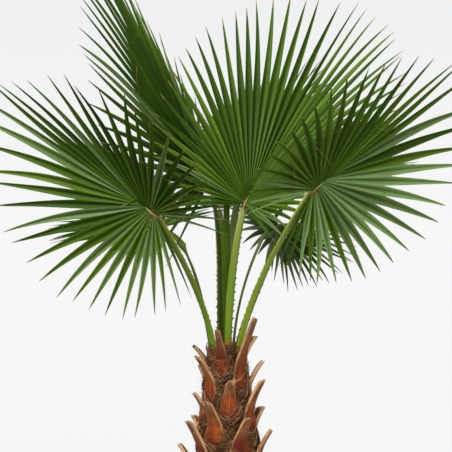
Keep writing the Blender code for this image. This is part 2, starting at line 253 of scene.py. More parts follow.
def trunk_centre(height: float) -> Vector:
    """The leaning, slightly bowed axis of the trunk at a height.

    Args:
        height: Metres above the ground.

    Returns:
        The point on the axis.
    """
    share = (height - TRUNK_BASE) / (TRUNK_TOP - TRUNK_BASE)
    share = min(max(share, 0.0), 1.3)
    bow = 0.004 * math.sin(math.pi * min(share, 1.0))
    x = TRUNK_FOOT_X + (TRUNK_CROWN_X - TRUNK_FOOT_X) * share - bow
    return Vector((x, TRUNK_CROWN_Y * share, height))


def trunk_line(heights: Array) -> Array:
    """The trunk's axis at several heights, one row for each."""
    return np.array([trunk_centre(float(z)) for z in heights])


def fan_axes(frond: Frond) -> tuple[Array, Array, Array]:
    """Costa direction, sideways direction and upper-face normal of a fan.

    Args:
        frond: The leaf.

    Returns:
        The three unit vectors.
    """
    heading, pitch, roll = (math.radians(v) for v in (frond.heading, frond.pitch, frond.roll))
    level = math.cos(pitch)
    along = np.array((level * math.cos(heading), level * math.sin(heading), math.sin(pitch)))
    side = np.cross(along, (0.0, 0.0, 1.0))
    side /= np.linalg.norm(side)
    up = np.cross(side, along)
    c, s = math.cos(roll), math.sin(roll)
    return along, side * c + up * s, up * c - side * s


def fan_direction(
    frond: Frond, axes: tuple[Array, Array, Array], place: float
) -> tuple[Array, float, float]:
    """Leaflet direction, length and start offset at a place across the fan.

    Args:
        frond: The leaf.
        axes: Its three axes.
        place: From -1 to 1 across the fan.

    Returns:
        The unit direction, the length, and how far along the costa the leaflet starts.
    """
    along, side, normal = axes
    size = abs(place)
    sign = math.copysign(1.0, place) if size > 1e-9 else 0.0
    blend = frond.evenness * size + (1.0 - frond.evenness) * size**frond.bunching
    angle = math.radians(frond.spread) * blend
    fold = math.radians(frond.fold)
    direction = along * math.cos(angle)
    direction = direction + math.sin(angle) * (side * math.cos(fold) * sign + normal * math.sin(fold))
    direction /= np.linalg.norm(direction)
    length = frond.reach * (1.0 - frond.shortening * size**frond.falloff)
    start = frond.costa * frond.reach * (1.0 - size) ** 1.5
    return direction, length, start


@dataclass(frozen=True)
class Layout:
    """Ribs (odd rows) and the ridges between them (even rows) of one fan."""

    bases: Array
    directions: Array
    lengths: Array
    normals: Array
    spacing: Array


def fan_layout(frond: Frond) -> Layout:
    """Works out every rib and ridge of a fan from its leaf.

    Args:
        frond: The leaf.

    Returns:
        The layout.
    """
    axes = fan_axes(frond)
    count = frond.leaflets
    rows = [fan_direction(frond, axes, float(p)) for p in np.linspace(-1.0, 1.0, 2 * count + 1)]
    directions = np.array([row[0] for row in rows])
    lengths = np.array([row[1] for row in rows])
    bases = np.array(frond.hub) + np.outer([row[2] for row in rows], axes[0])
    across = np.gradient(directions, axis=0)
    normals = np.cross(across, directions)
    normals *= np.sign(normals @ axes[2] + 1e-12)[:, None]
    normals[count] = axes[2]
    normals /= np.linalg.norm(normals, axis=1)[:, None]
    return Layout(bases, directions, lengths, normals, np.linalg.norm(across, axis=1) * 2.0)


def segments_of(points: Array) -> Array:
    """Pairs each point with the next one."""
    return np.stack([points[:-1], points[1:]], axis=1)


def distance_to_segments(points: Array, segments: Array) -> Array:
    """Least distance of each point to any of the segments.

    Args:
        points: One row for each point.
        segments: Pairs of end points.

    Returns:
        One distance for each point.
    """
    a = segments[:, 0][None]
    ab = (segments[:, 1] - segments[:, 0])[None]
    ap = points[:, None] - a
    share = np.clip((ap * ab).sum(2) / (ab * ab).sum(2), 0.0, 1.0)
    return np.linalg.norm(ap - ab * share[..., None], axis=2).min(1)


def clear_lengths(frond: Frond, layout: Layout, obstacles: Sequence[Array]) -> Array:
    """Each leaflet's length, cut back where its free part would meet another leaf.

    Args:
        frond: The leaf.
        layout: Its ribs and ridges.
        obstacles: Line segments of the stalks and of the fans already placed.

    Returns:
        One length for each leaflet.
    """
    ribs = layout.lengths[1::2].copy()
    segments = np.concatenate(obstacles)
    steps = np.linspace(SPLIT_SHARE, 1.0, 16)
    for i in range(frond.leaflets):
        k = 2 * i + 1
        points = layout.bases[k] + layout.directions[k] * (layout.lengths[k] * steps)[:, None]
        near = distance_to_segments(points, segments) < CLEAR_OF_OTHERS
        if near.any():
            kept = max(steps[int(near.argmax())] - 0.06, SPLIT_SHARE + 0.08)
            ribs[i] = layout.lengths[k] * kept
    return ribs


def bezier(points: Sequence[Vector], share: float) -> Vector:
    """A point on a cubic curve.

    Args:
        points: Its four control points.
        share: How far along, from 0 to 1.

    Returns:
        The point.
    """
    a, b, c, d = points
    s = 1.0 - share
    return a * s**3 + b * 3 * s * s * share + c * 3 * s * share**2 + d * share**3


def stalk_curve(frond: Frond) -> tuple[Vector, Vector, Vector, Vector]:
    """Control points from the stalk's foot on the trunk to just under its hub.

    Args:
        frond: The leaf.

    Returns:
        The four control points.
    """
    turn = math.radians(frond.turn)
    outer = frond.ring == OUTER_RING
    foot = trunk_centre(OUTER_START if outer else INNER_START) + outward(turn) * frond.ring
    hub = Vector(frond.hub)
    axes = fan_axes(frond)
    along, normal = Vector(axes[0]), Vector(axes[2])
    straight = (hub - foot).normalized()
    arrive = (straight * 0.75 + along * 0.25).normalized()
    arrive = (arrive - normal * arrive.dot(normal)).normalized()
    half = 0.5 * BLADE_SHARE * frond.reach
    near_side = STALK_TIP_THICKNESS * (1.0 if normal.dot(outward(turn)) > 0.0 else 0.7)
    end = hub + arrive * HUB_PAST - normal * (half + near_side + HUB_GAP)
    span = (end - foot).length
    rise = (Vector((0.0, 0.0, 1.0)) + outward(turn) * (0.16 if outer else 0.04)).normalized()
    return foot, foot + rise * span * 0.36, end - arrive * span * 0.30, end


def spear_curve() -> tuple[Vector, Vector, Vector, Vector]:
    """Control points of the folded young leaf."""
    foot = trunk_centre(INNER_START)
    return foot, foot + Vector((0.0, 0.0, 0.16)), Vector(SPEAR_BEND), Vector(SPEAR_TOP)


def curve_segments(control: Sequence[Vector]) -> Array:
    """A cubic curve as twelve straight pieces."""
    return segments_of(np.array([bezier(control, s / 12.0) for s in range(13)]))


# ---- templates and the builder of joined meshes


@dataclass(frozen=True)
class Template:
    """A small shape read once and laid down many times by a rule.

    around holds each vertex's place round or across the shape and along its place from end to
    end, both from 0 to 1.
    """

    around: Array
    along: Array
    faces: tuple[tuple[int, ...], ...]
    centres: Array

    def vertices(self) -> Iterator[tuple[int, float, float]]:
        """Each vertex's number, its turn about the shape in radians and its place along it."""
        return ((n, math.tau * a, s) for n, (a, s) in enumerate(zip(self.around, self.along)))


def read_template(bm: bmesh.types.BMesh, around: Sequence[float], along: Sequence[float]) -> Template:
    """Keeps a bmesh's faces with two numbers for each vertex, and frees it.

    Args:
        bm: The shape.
        around: Each vertex's place round or across it.
        along: Each vertex's place from end to end.

    Returns:
        The template.
    """
    bm.verts.index_update()
    faces = tuple(tuple(v.index for v in f.verts) for f in bm.faces)
    along_of = np.array(along)
    centres = np.array([along_of[list(f)].mean() for f in faces])
    bm.free()
    return Template(np.array(around), along_of, faces, centres)


def rod_template(sides: int, rings: int) -> Template:
    """A closed cylinder cut across into even rings.

    Args:
        sides: Faces round the rod.
        rings: Cuts between its two ends.

    Returns:
        The template, whose around runs from 0 to 1 about the rod.
    """
    bm = bmesh.new()
    bmesh.ops.create_cone(bm, cap_ends=True, segments=sides, radius1=1.0, radius2=1.0, depth=1.0)
    upright = [e for e in bm.edges if abs(e.verts[0].co.z - e.verts[1].co.z) > 0.5]
    if rings:
        bmesh.ops.subdivide_edges(bm, edges=upright, cuts=rings, use_grid_fill=True)
    around = [math.atan2(v.co.y, v.co.x) / math.tau % 1.0 for v in bm.verts]
    return read_template(bm, around, [v.co.z + 0.5 for v in bm.verts])


def strip_template(across: Sequence[float], stations: Sequence[float]) -> Template:
    """A flat grid whose columns and rows are then moved to the given places.

    Args:
        across: The columns' places.
        stations: The rows' places.

    Returns:
        The template.
    """
    bm = bmesh.new()
    bmesh.ops.create_grid(bm, x_segments=len(across) - 1, y_segments=len(stations) - 1, size=1.0)
    columns = np.linspace(-1.0, 1.0, len(across))
    rows = np.linspace(-1.0, 1.0, len(stations))
    around = [float(np.interp(v.co.x, columns, across)) for v in bm.verts]
    return read_template(bm, around, [float(np.interp(v.co.y, rows, stations)) for v in bm.verts])


def thread_points(
    template: Template,
    start: Vector,
    aim: Vector,
    curl: Vector,
    length: float,
    thick: float,
    coil: float = 0.0,
    turns: float = 1.0,
) -> Array:
    """Places a thin rod as a curling thread.

    Args:
        template: The rod.
        start: Where it leaves what carries it.
        aim: The direction that it leaves in.
        curl: The direction that it bends towards.
        length: Its length.
        thick: Its radius at the root.
        coil: How far it swings to and fro as it runs.
        turns: How often it does so.

    Returns:
        The place of each vertex.
    """
    first = np.array(aim.cross(curl).normalized())
    second = np.cross(np.array(aim), first)
    share = template.along[:, None]
    spin = math.tau * template.around[:, None]
    centre = np.array(start) + np.array(aim) * length * share + np.array(curl) * length * 0.55 * share**2
    swing = math.tau * turns * share
    centre = centre + (first * np.sin(swing) + second * (1.0 - np.cos(swing))) * coil * share**0.5
    return centre + (first * np.cos(spin) + second * np.sin(spin)) * thick * (1.0 - 0.8 * share)


class Builder:
    """Gathers copies of templates into one joined mesh."""

    def __init__(self, name: str, materials: Sequence[bpy.types.Material]) -> None:
        """Starts an empty piece with its materials.

        Args:
            name: The piece's name.
            materials: Its materials, in the order of their slots.
        """
        self.name = name
        self.materials = list(materials)
        self.points: list[Array] = []
        self.faces: list[tuple[int, ...]] = []
        self.slots: list[int] = []
        self.along: list[Array] = []
        self.across: list[Array] = []
        self.tone: list[Array] = []
        self.count = 0

    def lay(
        self,
        template: Template,
        points: Array,
        slots: int | Sequence[int] = 0,
        across: Array | None = None,
        tone: float = 0.5,
        along: Array | None = None,
    ) -> None:
        """Adds one copy of a template.

        Args:
            template: The shape.
            points: Where each of its vertices goes.
            slots: One material index, or one for each face.
            across: What the across attribute holds, where it isn't the template's own.
            tone: A number from 0 to 1 that the materials vary this copy by.
            along: What the along attribute holds, where it isn't the template's own.
        """
        start = self.count
        self.points.append(points)
        self.faces.extend(tuple(start + i for i in face) for face in template.faces)
        several = [slots] * len(template.faces) if isinstance(slots, int) else slots
        self.slots.extend(several)
        self.along.append(template.along if along is None else along)
        self.across.append(template.around if across is None else across)
        self.tone.append(np.full(len(points), tone))
        self.count += len(points)

    def scatter(self, template: Template, points: Array, rng: np.random.Generator) -> None:
        """Adds one copy whose material and tone are left to chance."""
        slot = int(rng.integers(len(self.materials)))
        self.lay(template, points, slot, tone=float(rng.random()))

    def build(
        self,
        node_names: Sequence[str],
        slot: str,
        weld: float = 0.0,
        crease: float = 60.0,
        thickness: float = 0.0,
    ) -> bpy.types.Object:
        """Makes the piece, joins it to its body and hides the solids that it stands for.

        Args:
            node_names: The solids that it replaces.
            slot: Not used.
            weld: How near vertices are made one, or 0.
            crease: Edges sharper than this angle in degrees are shaded sharp.
            thickness: The wall that a sheet is given, or 0 for a closed shape.

        Returns:
            The finished object.
        """
        mesh = bpy.data.meshes.new(self.name)
        mesh.from_pydata(np.concatenate(self.points).tolist(), [], self.faces)
        for name, values in (("along", self.along), ("across", self.across), ("tone", self.tone)):
            layer = mesh.attributes.new(name, "FLOAT", "POINT")
            layer.data.foreach_set("value", np.concatenate(values).astype(np.float32))
        mesh.polygons.foreach_set("material_index", np.array(self.slots, np.int32))
        bm = bmesh.new()
        bm.from_mesh(mesh)
        if weld:
            bmesh.ops.remove_doubles(bm, verts=bm.verts, dist=weld)
            bmesh.ops.dissolve_degenerate(bm, edges=bm.edges, dist=weld)
        bmesh.ops.recalc_face_normals(bm, faces=bm.faces)
        bm.to_mesh(mesh)
        bm.free()
        for material in self.materials:
            mesh.materials.append(material)
        mesh.shade_smooth()
        mesh.set_sharp_from_angle(angle=math.radians(crease))
        piece = place(self.name, mesh)
        if thickness:
            wall = piece.modifiers.new("wall", "SOLIDIFY")
            wall.thickness = thickness
            wall.offset = 0.0
        if node_names:
            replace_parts(piece, *node_names)
        return piece


def place(name: str, mesh: bpy.types.Mesh) -> bpy.types.Object:
    """Links a mesh as an object at the origin that rides on the plant's one body.

    Args:
        name: The object's name.
        mesh: Its mesh.

    Returns:
        The object.
    """
    piece = bpy.data.objects.new(name, mesh)
    bpy.context.scene.collection.objects.link(piece)
    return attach(piece, BODY)


def report(piece: bpy.types.Object) -> None:
    """Logs a finished piece's name and size."""
    LOG.info("%s: %d faces", piece.name, len(piece.data.polygons))


# ---- shader groups and finishes


class Tree:
    """A node tree with short calls to add and join nodes."""

    def __init__(self, tree: bpy.types.NodeTree) -> None:
        """Wraps a tree."""
        self.tree = tree

    def add(self, kind: str, **values: object) -> bpy.types.Node:
        """Adds a node.

        Args:
            kind: The node's type.
            values: Properties by name, or inputs where the node has no such property. A socket
                given as a value is linked.

        Returns:
            The new node.
        """
        node = self.tree.nodes.new(kind)
        for key, value in values.items():
            if hasattr(node, key) and not isinstance(value, bpy.types.NodeSocket):
                setattr(node, key, value)
            else:
                self.put(node.inputs[key], value)
        return node

    def put(self, socket: bpy.types.NodeSocket, value: object) -> None:
        """Links a socket, or sets its value.

        Args:
            socket: The input.
            value: Another socket, a colour or a number.
        """
        if isinstance(value, bpy.types.NodeSocket):
            self.tree.links.new(value, socket)
        elif isinstance(value, tuple) and len(value) == 3 and len(socket.default_value) == 4:
            socket.default_value = (*value, 1.0)
        else:
            socket.default_value = value

    def put_all(self, node: bpy.types.Node, sockets: Sequence[int | str], values: Sequence[object]) -> None:
        """Links or sets several inputs of a node.

        Args:
            node: The node.
            sockets: The inputs' names or places.
            values: What they take.
        """
        for socket, value in zip(sockets, values):
            self.put(node.inputs[socket], value)

    def attribute(self, name: str) -> bpy.types.NodeSocket:
        """The piece's own number at each vertex."""
        return self.add("ShaderNodeAttribute", attribute_name=name).outputs["Fac"]

    def math(self, operation: str, first: object, second: object = 0.0) -> bpy.types.NodeSocket:
        """Works out a sum.

        Args:
            operation: Its kind.
            first: A number or a socket.
            second: Another, where the kind takes two.

        Returns:
            The result.
        """
        node = self.add("ShaderNodeMath", operation=operation)
        self.put_all(node, (0, 1), (first, second))
        return node.outputs[0]

    def times(self, first: object, second: object) -> bpy.types.NodeSocket:
        """The product of two values."""
        return self.math("MULTIPLY", first, second)

    def plus(self, first: object, second: object) -> bpy.types.NodeSocket:
        """The sum of two values."""
        return self.math("ADD", first, second)

    def spread(
        self, value: object, low: float, high: float, first: float = 0.0, last: float = 1.0
    ) -> bpy.types.NodeSocket:
        """Moves a value from one range to another, held at both ends.

        Args:
            value: The value.
            low: Where its own range starts.
            high: Where that ends.
            first: What it becomes at the start.
            last: What it becomes at the end.

        Returns:
            The moved value.
        """
        node = self.add("ShaderNodeMapRange")
        self.put_all(node, range(5), (value, low, high, first, last))
        return node.outputs[0]

    def blend(self, share: object, first: object, second: object) -> bpy.types.NodeSocket:
        """Mixes two colours.

        Args:
            share: How much of the second is taken.
            first: A colour or a socket.
            second: Another.

        Returns:
            The mixed colour.
        """
        node = self.add("ShaderNodeMix", data_type="RGBA")
        self.put_all(node, ("Factor", 6, 7), (share, first, second))
        return node.outputs[2]

    def use(self, group: bpy.types.NodeTree, **values: object) -> bpy.types.NodeSocket:
        """Places a shader group with its own values, and gives its output."""
        return self.add("ShaderNodeGroup", node_tree=group, **values).outputs[0]


class Effect(Tree):
    """A shader group with one output."""

    def __init__(self, name: str, output: str, kind: str, **inputs: float) -> None:
        """Starts the group.

        Args:
            name: Its name.
            output: Its output's name.
            kind: Its output's socket type.
            inputs: Its inputs, all of them numbers, and their values.
        """
        super().__init__(bpy.data.node_groups.new(name, "ShaderNodeTree"))
        sockets = self.tree.interface
        for key, value in inputs.items():
            socket = sockets.new_socket(name=key, in_out="INPUT", socket_type="NodeSocketFloat")
            socket.default_value = value
        sockets.new_socket(name=output, in_out="OUTPUT", socket_type=kind)
        self.given = self.add("NodeGroupInput").outputs
        self.out = self.add("NodeGroupOutput").inputs[output]

    def close(self, result: bpy.types.NodeSocket) -> bpy.types.NodeTree:
        """Joins the result to the group's output and gives the group."""
        self.put(self.out, result)
        return self.tree


def mottle_group() -> bpy.types.NodeTree:
    """Makes soft patches at two sizes in the piece's own space.

    Returns:
        The group.
    """
    patches = Effect("mottle", "Mask", "NodeSocketFloat", Scale=10.0, Contrast=1.0)
    where = patches.add("ShaderNodeTexCoord").outputs["Object"]
    broad = patches.add("ShaderNodeTexNoise", Vector=where, Scale=patches.given["Scale"], Detail=3.0)
    finer = patches.times(patches.given["Scale"], 4.7)
    small = patches.add("ShaderNodeTexNoise", Vector=where, Scale=finer, Detail=2.0)
    mixed = patches.plus(patches.times(broad.outputs[0], 0.65), patches.times(small.outputs[0], 0.35))
    centred = patches.times(patches.math("SUBTRACT", mixed, 0.5), patches.given["Contrast"])
    return patches.close(patches.spread(patches.plus(centred, 0.5), 0.3, 0.7))


def streak_group() -> bpy.types.NodeTree:
    """Makes fine lines that run along a leaf or husk, from its along, across and tone numbers.

    Returns:
        The group.
    """
    streaks = Effect("streak", "Mask", "NodeSocketFloat", Lines=14.0, Run=2.0)
    across = streaks.times(streaks.attribute("across"), streaks.given["Lines"])
    along = streaks.times(streaks.attribute("along"), streaks.given["Run"])
    tone = streaks.times(streaks.attribute("tone"), 37.0)
    where = streaks.add("ShaderNodeCombineXYZ", X=across, Y=along, Z=tone).outputs[0]
    lines = streaks.add("ShaderNodeTexNoise", Vector=where, Scale=1.0, Detail=3.0, Roughness=0.6)
    return streaks.close(streaks.spread(lines.outputs[0], 0.32, 0.68))


def relief_group() -> bpy.types.NodeTree:
    """Makes the group that turns a height into a normal.

    Returns:
        The group.
    """
    relief = Effect("relief", "Normal", "NodeSocketVector", Height=0.0, Strength=0.3, Distance=0.001)
    given = {key: relief.given[key] for key in ("Height", "Strength", "Distance")}
    return relief.close(relief.add("ShaderNodeBump", **given).outputs[0])


@dataclass
class Effects:
    """The shader groups that several materials share."""

    mottle: bpy.types.NodeTree = field(default_factory=mottle_group)
    streak: bpy.types.NodeTree = field(default_factory=streak_group)
    relief: bpy.types.NodeTree = field(default_factory=relief_group)


class Skin(Tree):
    """A material's tree, with the shared effects at hand."""

    def __init__(self, name: str, effects: Effects) -> None:
        """Starts a material.

        Args:
            name: Its name.
            effects: The shared shader groups.
        """
        self.material = bpy.data.materials.new(name)
        self.material.use_nodes = True
        super().__init__(self.material.node_tree)
        self.effects = effects
        self.shader = self.tree.nodes["Principled BSDF"]

    def streak(self, lines: float, run: float) -> bpy.types.NodeSocket:
        """Fine lines: how many across, and how quickly they change along."""
        return self.use(self.effects.streak, Lines=lines, Run=run)

    def mottle(self, scale: float, contrast: float) -> bpy.types.NodeSocket:
        """Soft patches of a scale and a contrast."""
        return self.use(self.effects.mottle, Scale=scale, Contrast=contrast)

    def finish(self, colour: object, roughness: object, gloss: float, relief: Relief) -> bpy.types.Material:
        """Joins what the shader takes.

        Args:
            colour: The surface's colour.
            roughness: How rough it is.
            gloss: How strongly it reflects.
            relief: The height that its normal is taken from, with a strength and a distance.

        Returns:
            The finished material.
        """
        height, strength, distance = relief
        normal = self.use(self.effects.relief, Height=height, Strength=strength, Distance=distance)
        names = ("Base Color", "Roughness", "Specular IOR Level", "Normal")
        self.put_all(self.shader, names, (colour, roughness, gloss, normal))
        return self.material


@dataclass(frozen=True)
class LeafFinish:
    """A leaflet's green: fine lengthwise lines, soft patches and a waxy gloss, with painted shade in each
    pleat's fold and a painted highlight on its ridges near the hub.
    """

    name: str
    colour: Colour
    light: Colour
    heart: Colour = (0.092, 0.180, 0.010)
    roughness: float = 0.40
    gloss: float = 0.06
    shade: Colour = (0.014, 0.032, 0.003)
    lines: float = 9.0

    def make(self, effects: Effects) -> bpy.types.Material:
        """Builds the material.

        Args:
            effects: The shared shader groups.

        Returns:
            The material.
        """
        skin = Skin(self.name, effects)
        along, across = skin.attribute("along"), skin.attribute("across")
        streak = skin.streak(self.lines, 1.5)
        mottle = skin.mottle(5.0, 1.2)
        colour = skin.blend(skin.times(streak, 0.75), self.colour, self.light)
        colour = skin.blend(skin.times(mottle, 0.35), colour, self.light)
        near_hub = skin.spread(along, 0.02, 0.26, 0.55, 0.0)
        colour = skin.blend(near_hub, colour, self.heart)
        # painted shade: each pleat's fold is darkened towards the shade colour, most in the joined blade
        valley_shade = skin.spread(across, 0.10, 0.80, 0.90, 0.0)
        valley_shade = skin.times(valley_shade, skin.spread(along, 0.30, 0.62, 1.0, 0.35))
        colour = skin.blend(valley_shade, colour, self.shade)
        # painted highlight: the ridges of the joined blade near the hub are lightened towards the light
        # colour
        crest = skin.spread(across, 0.72, 1.0, 0.0, 0.80)
        crest = skin.times(crest, skin.spread(along, 0.25, 0.45, 1.0, 0.0))
        colour = skin.blend(crest, colour, self.light)
        rough = skin.spread(mottle, 0.0, 1.0, self.roughness - 0.07, self.roughness + 0.08)
        return skin.finish(colour, rough, self.gloss, (streak, 0.25, 0.0006))


@dataclass(frozen=True)
class StalkFinish:
    """A stalk's skin, reddened at its foot and greener towards the hub."""

    name: str
    foot: Colour
    middle: Colour
    top: Colour
    dark: Colour = (0.05, 0.08, 0.008)
    gloss: float = 0.3

    def make(self, effects: Effects) -> bpy.types.Material:
        """Builds the material.

        Args:
            effects: The shared shader groups.

        Returns:
            The material.
        """
        skin = Skin(self.name, effects)
        along = skin.attribute("along")
        streak = skin.streak(26.0, 3.0)
        colour = skin.blend(skin.spread(along, 0.0, 0.09), self.foot, self.middle)
        colour = skin.blend(skin.spread(along, 0.35, 0.95), colour, self.top)
        colour = skin.blend(skin.times(streak, 0.5), colour, skin.blend(0.45, colour, self.dark))
        rough = skin.spread(streak, 0.0, 1.0, 0.34, 0.5)
        return skin.finish(colour, rough, self.gloss, (streak, 0.3, 0.0008))


@dataclass(frozen=True)
class HuskFinish:
    """A cut leaf base: a red-brown striped face, a browner stub and a pale frayed end, with orange painted
    highlights along the face's streaks and in patches.
    """

    name: str
    face: Colour
    grain_and_highlight: Colour
    red: Colour
    dark: Colour
    stub: Colour
    end: Colour
    gloss: float = 0.18

    def make(self, effects: Effects) -> bpy.types.Material:
        """Builds the material.

        Args:
            effects: The shared shader groups.

        Returns:
            The material.
        """
        skin = Skin(self.name, effects)
        streak = skin.streak(26.0, 1.2)
        fine = skin.streak(80.0, 3.0)
        mottle = skin.mottle(26.0, 1.4)
        along = skin.attribute("along")
        tone = skin.attribute("tone")
        middle = skin.math("ABSOLUTE", skin.math("SUBTRACT", skin.attribute("across"), 0.5))
        # partly the grain's own orange and partly painted highlight: the face turns orange along its streaks
        face = skin.blend(skin.spread(streak, 0.35, 0.95), self.face, self.grain_and_highlight)
        face = skin.blend(skin.spread(tone, 0.20, 0.75, 0.0, 0.9), face, self.red)
        face = skin.blend(skin.spread(along, 0.40, 0.14, 0.0, 0.85), face, self.red)
        # painted highlight: orange patches on the face
        face = skin.blend(skin.spread(mottle, 0.45, 1.0, 0.0, 0.35), face, self.grain_and_highlight)
        stub = skin.blend(skin.times(streak, 0.5), self.stub, self.end)
        stub = skin.blend(skin.spread(mottle, 0.4, 0.9, 0.0, 0.6), stub, self.face)
        colour = skin.blend(skin.spread(along, 0.50, 0.80), face, stub)
        colour = skin.blend(skin.spread(fine, 0.45, 0.85, 0.0, 0.7), colour, self.dark)
        seam = skin.spread(middle, 0.0, 0.045, 1.0, 0.0)
        seam = skin.times(seam, skin.spread(tone, 0.45, 0.55, 0.0, 0.85))
        seam = skin.times(seam, skin.spread(along, 0.45, 0.60, 1.0, 0.0))
        colour = skin.blend(seam, colour, self.dark)
        rim = skin.spread(middle, 0.405, 0.47, 0.0, 0.75)
        rim = skin.times(rim, skin.spread(mottle, 0.2, 0.6, 0.3, 1.0))
        colour = skin.blend(rim, colour, self.end)
        colour = skin.blend(skin.spread(along, 0.965, 1.0, 0.0, 0.9), colour, self.end)
        colour = skin.blend(skin.spread(along, 0.0, 0.12, 0.9, 0.0), colour, self.dark)
        rough = skin.spread(mottle, 0.0, 1.0, 0.42, 0.72)
        height = skin.plus(skin.times(streak, 0.7), skin.times(fine, 0.5))
        return skin.finish(colour, rough, self.gloss, (height, 0.8, 0.0016))


@dataclass(frozen=True)
class PlainFinish:
    """A surface of two mottled colours with a little relief."""

    name: str
    colour: Colour
    other: Colour
    roughness: float
    scale: float
    strength: float = 0.4
    distance: float = 0.001
    gloss: float = 0.3

    def make(self, effects: Effects) -> bpy.types.Material:
        """Builds the material.

        Args:
            effects: The shared shader groups.

        Returns:
            The material.
        """
        skin = Skin(self.name, effects)
        mottle = skin.mottle(self.scale, 1.3)
        grain = skin.mottle(self.scale * 9.0, 1.2)
        colour = skin.blend(mottle, self.colour, self.other)
        shade = skin.blend(0.5, self.colour, BLACK)
        colour = skin.blend(skin.times(grain, 0.25), colour, shade)
        rough = skin.spread(grain, 0.0, 1.0, self.roughness - 0.06, self.roughness + 0.06)
        height = skin.plus(mottle, skin.times(grain, 0.6))
        return skin.finish(colour, rough, self.gloss, (height, self.strength, self.distance))


# the pale and waxy greens are partly painted light: lighter copies of the green for leaflets that face the
# light, and the waxy one with a painted bluish sheen
LEAF_FINISHES = {
    Tone.DEEP: LeafFinish("leaf_deep", (0.030, 0.078, 0.004), (0.066, 0.142, 0.010)),
    Tone.MIDDLE: LeafFinish("leaf_middle", (0.055, 0.125, 0.006), (0.102, 0.192, 0.016)),
    Tone.FRESH: LeafFinish("leaf_fresh", (0.088, 0.182, 0.008), (0.155, 0.265, 0.024)),
    Tone.WAXY_SHEEN: LeafFinish(
        "leaf_waxy_sheen", (0.112, 0.207, 0.038), (0.206, 0.322, 0.094),
        roughness=0.34, gloss=0.25, shade=(0.030, 0.060, 0.012),
    ),
    Tone.PALE: LeafFinish(
        "leaf_pale", (0.205, 0.375, 0.085), (0.350, 0.540, 0.195),
        roughness=0.36, gloss=0.25, shade=(0.080, 0.140, 0.034),
    ),
    Tone.RIB: LeafFinish("leaf_rib", (0.120, 0.190, 0.012), (0.210, 0.280, 0.030), (0.26, 0.29, 0.03), 0.45),
    Tone.TIP: LeafFinish("leaf_tip", (0.240, 0.200, 0.060), (0.380, 0.280, 0.110), roughness=0.6),
}
OTHER_FINISHES = (
    StalkFinish("stalk_bright", (0.42, 0.17, 0.02), (0.195, 0.330, 0.012), (0.29, 0.34, 0.050)),
    StalkFinish("stalk_deep", (0.24, 0.13, 0.02), (0.140, 0.200, 0.016), (0.135, 0.205, 0.022)),
    # stalk_sunny is a lighter copy of the stalk skin, painted as if in sunlight
    StalkFinish("stalk_sunny", (0.45, 0.20, 0.03), (0.33, 0.49, 0.030), (0.44, 0.51, 0.110)),
    PlainFinish("thorn", (0.20, 0.055, 0.018), (0.11, 0.030, 0.012), 0.4, 40.0),
    PlainFinish("hub_skin", (0.62, 0.60, 0.20), (0.48, 0.42, 0.12), 0.6, 60.0, gloss=0.1),
    # husk_skin's second colour is the orange of the grain and of the painted highlights
    HuskFinish(
        "husk_skin", (0.240, 0.036, 0.007), (0.70, 0.185, 0.016), (0.150, 0.014, 0.007),
        (0.030, 0.010, 0.006), (0.47, 0.170, 0.060), (0.74, 0.46, 0.23),
    ),
    PlainFinish("bark_core", (0.110, 0.036, 0.014), (0.045, 0.016, 0.008), 0.9, 30.0, 0.9, 0.003, 0.1),
    PlainFinish("fibre_tan", (0.66, 0.41, 0.21), (0.42, 0.22, 0.095), 0.9, 80.0, gloss=0.05),
    PlainFinish("fibre_brown", (0.19, 0.065, 0.024), (0.09, 0.028, 0.012), 0.9, 80.0, gloss=0.05),
    PlainFinish("fibre_grey", (0.48, 0.30, 0.17), (0.24, 0.125, 0.06), 0.9, 80.0, gloss=0.05),
    PlainFinish("clay_skin", (0.42, 0.155, 0.075), (0.50, 0.21, 0.115), 0.82, 7.0, 0.35, 0.0012),
    PlainFinish("earth_skin", (0.040, 0.025, 0.016), (0.020, 0.012, 0.008), 0.95, 45.0, 0.8, 0.003),
    PlainFinish("chip_skin", (0.16, 0.080, 0.040), (0.085, 0.042, 0.022), 0.9, 60.0),
)
# painted light: the right stalk, which stands in shade, takes the lighter stalk_sunny
STALK_SKINS = {"left": "stalk_bright", "centre": "stalk_bright", "right": "stalk_sunny"}


# ---- fans


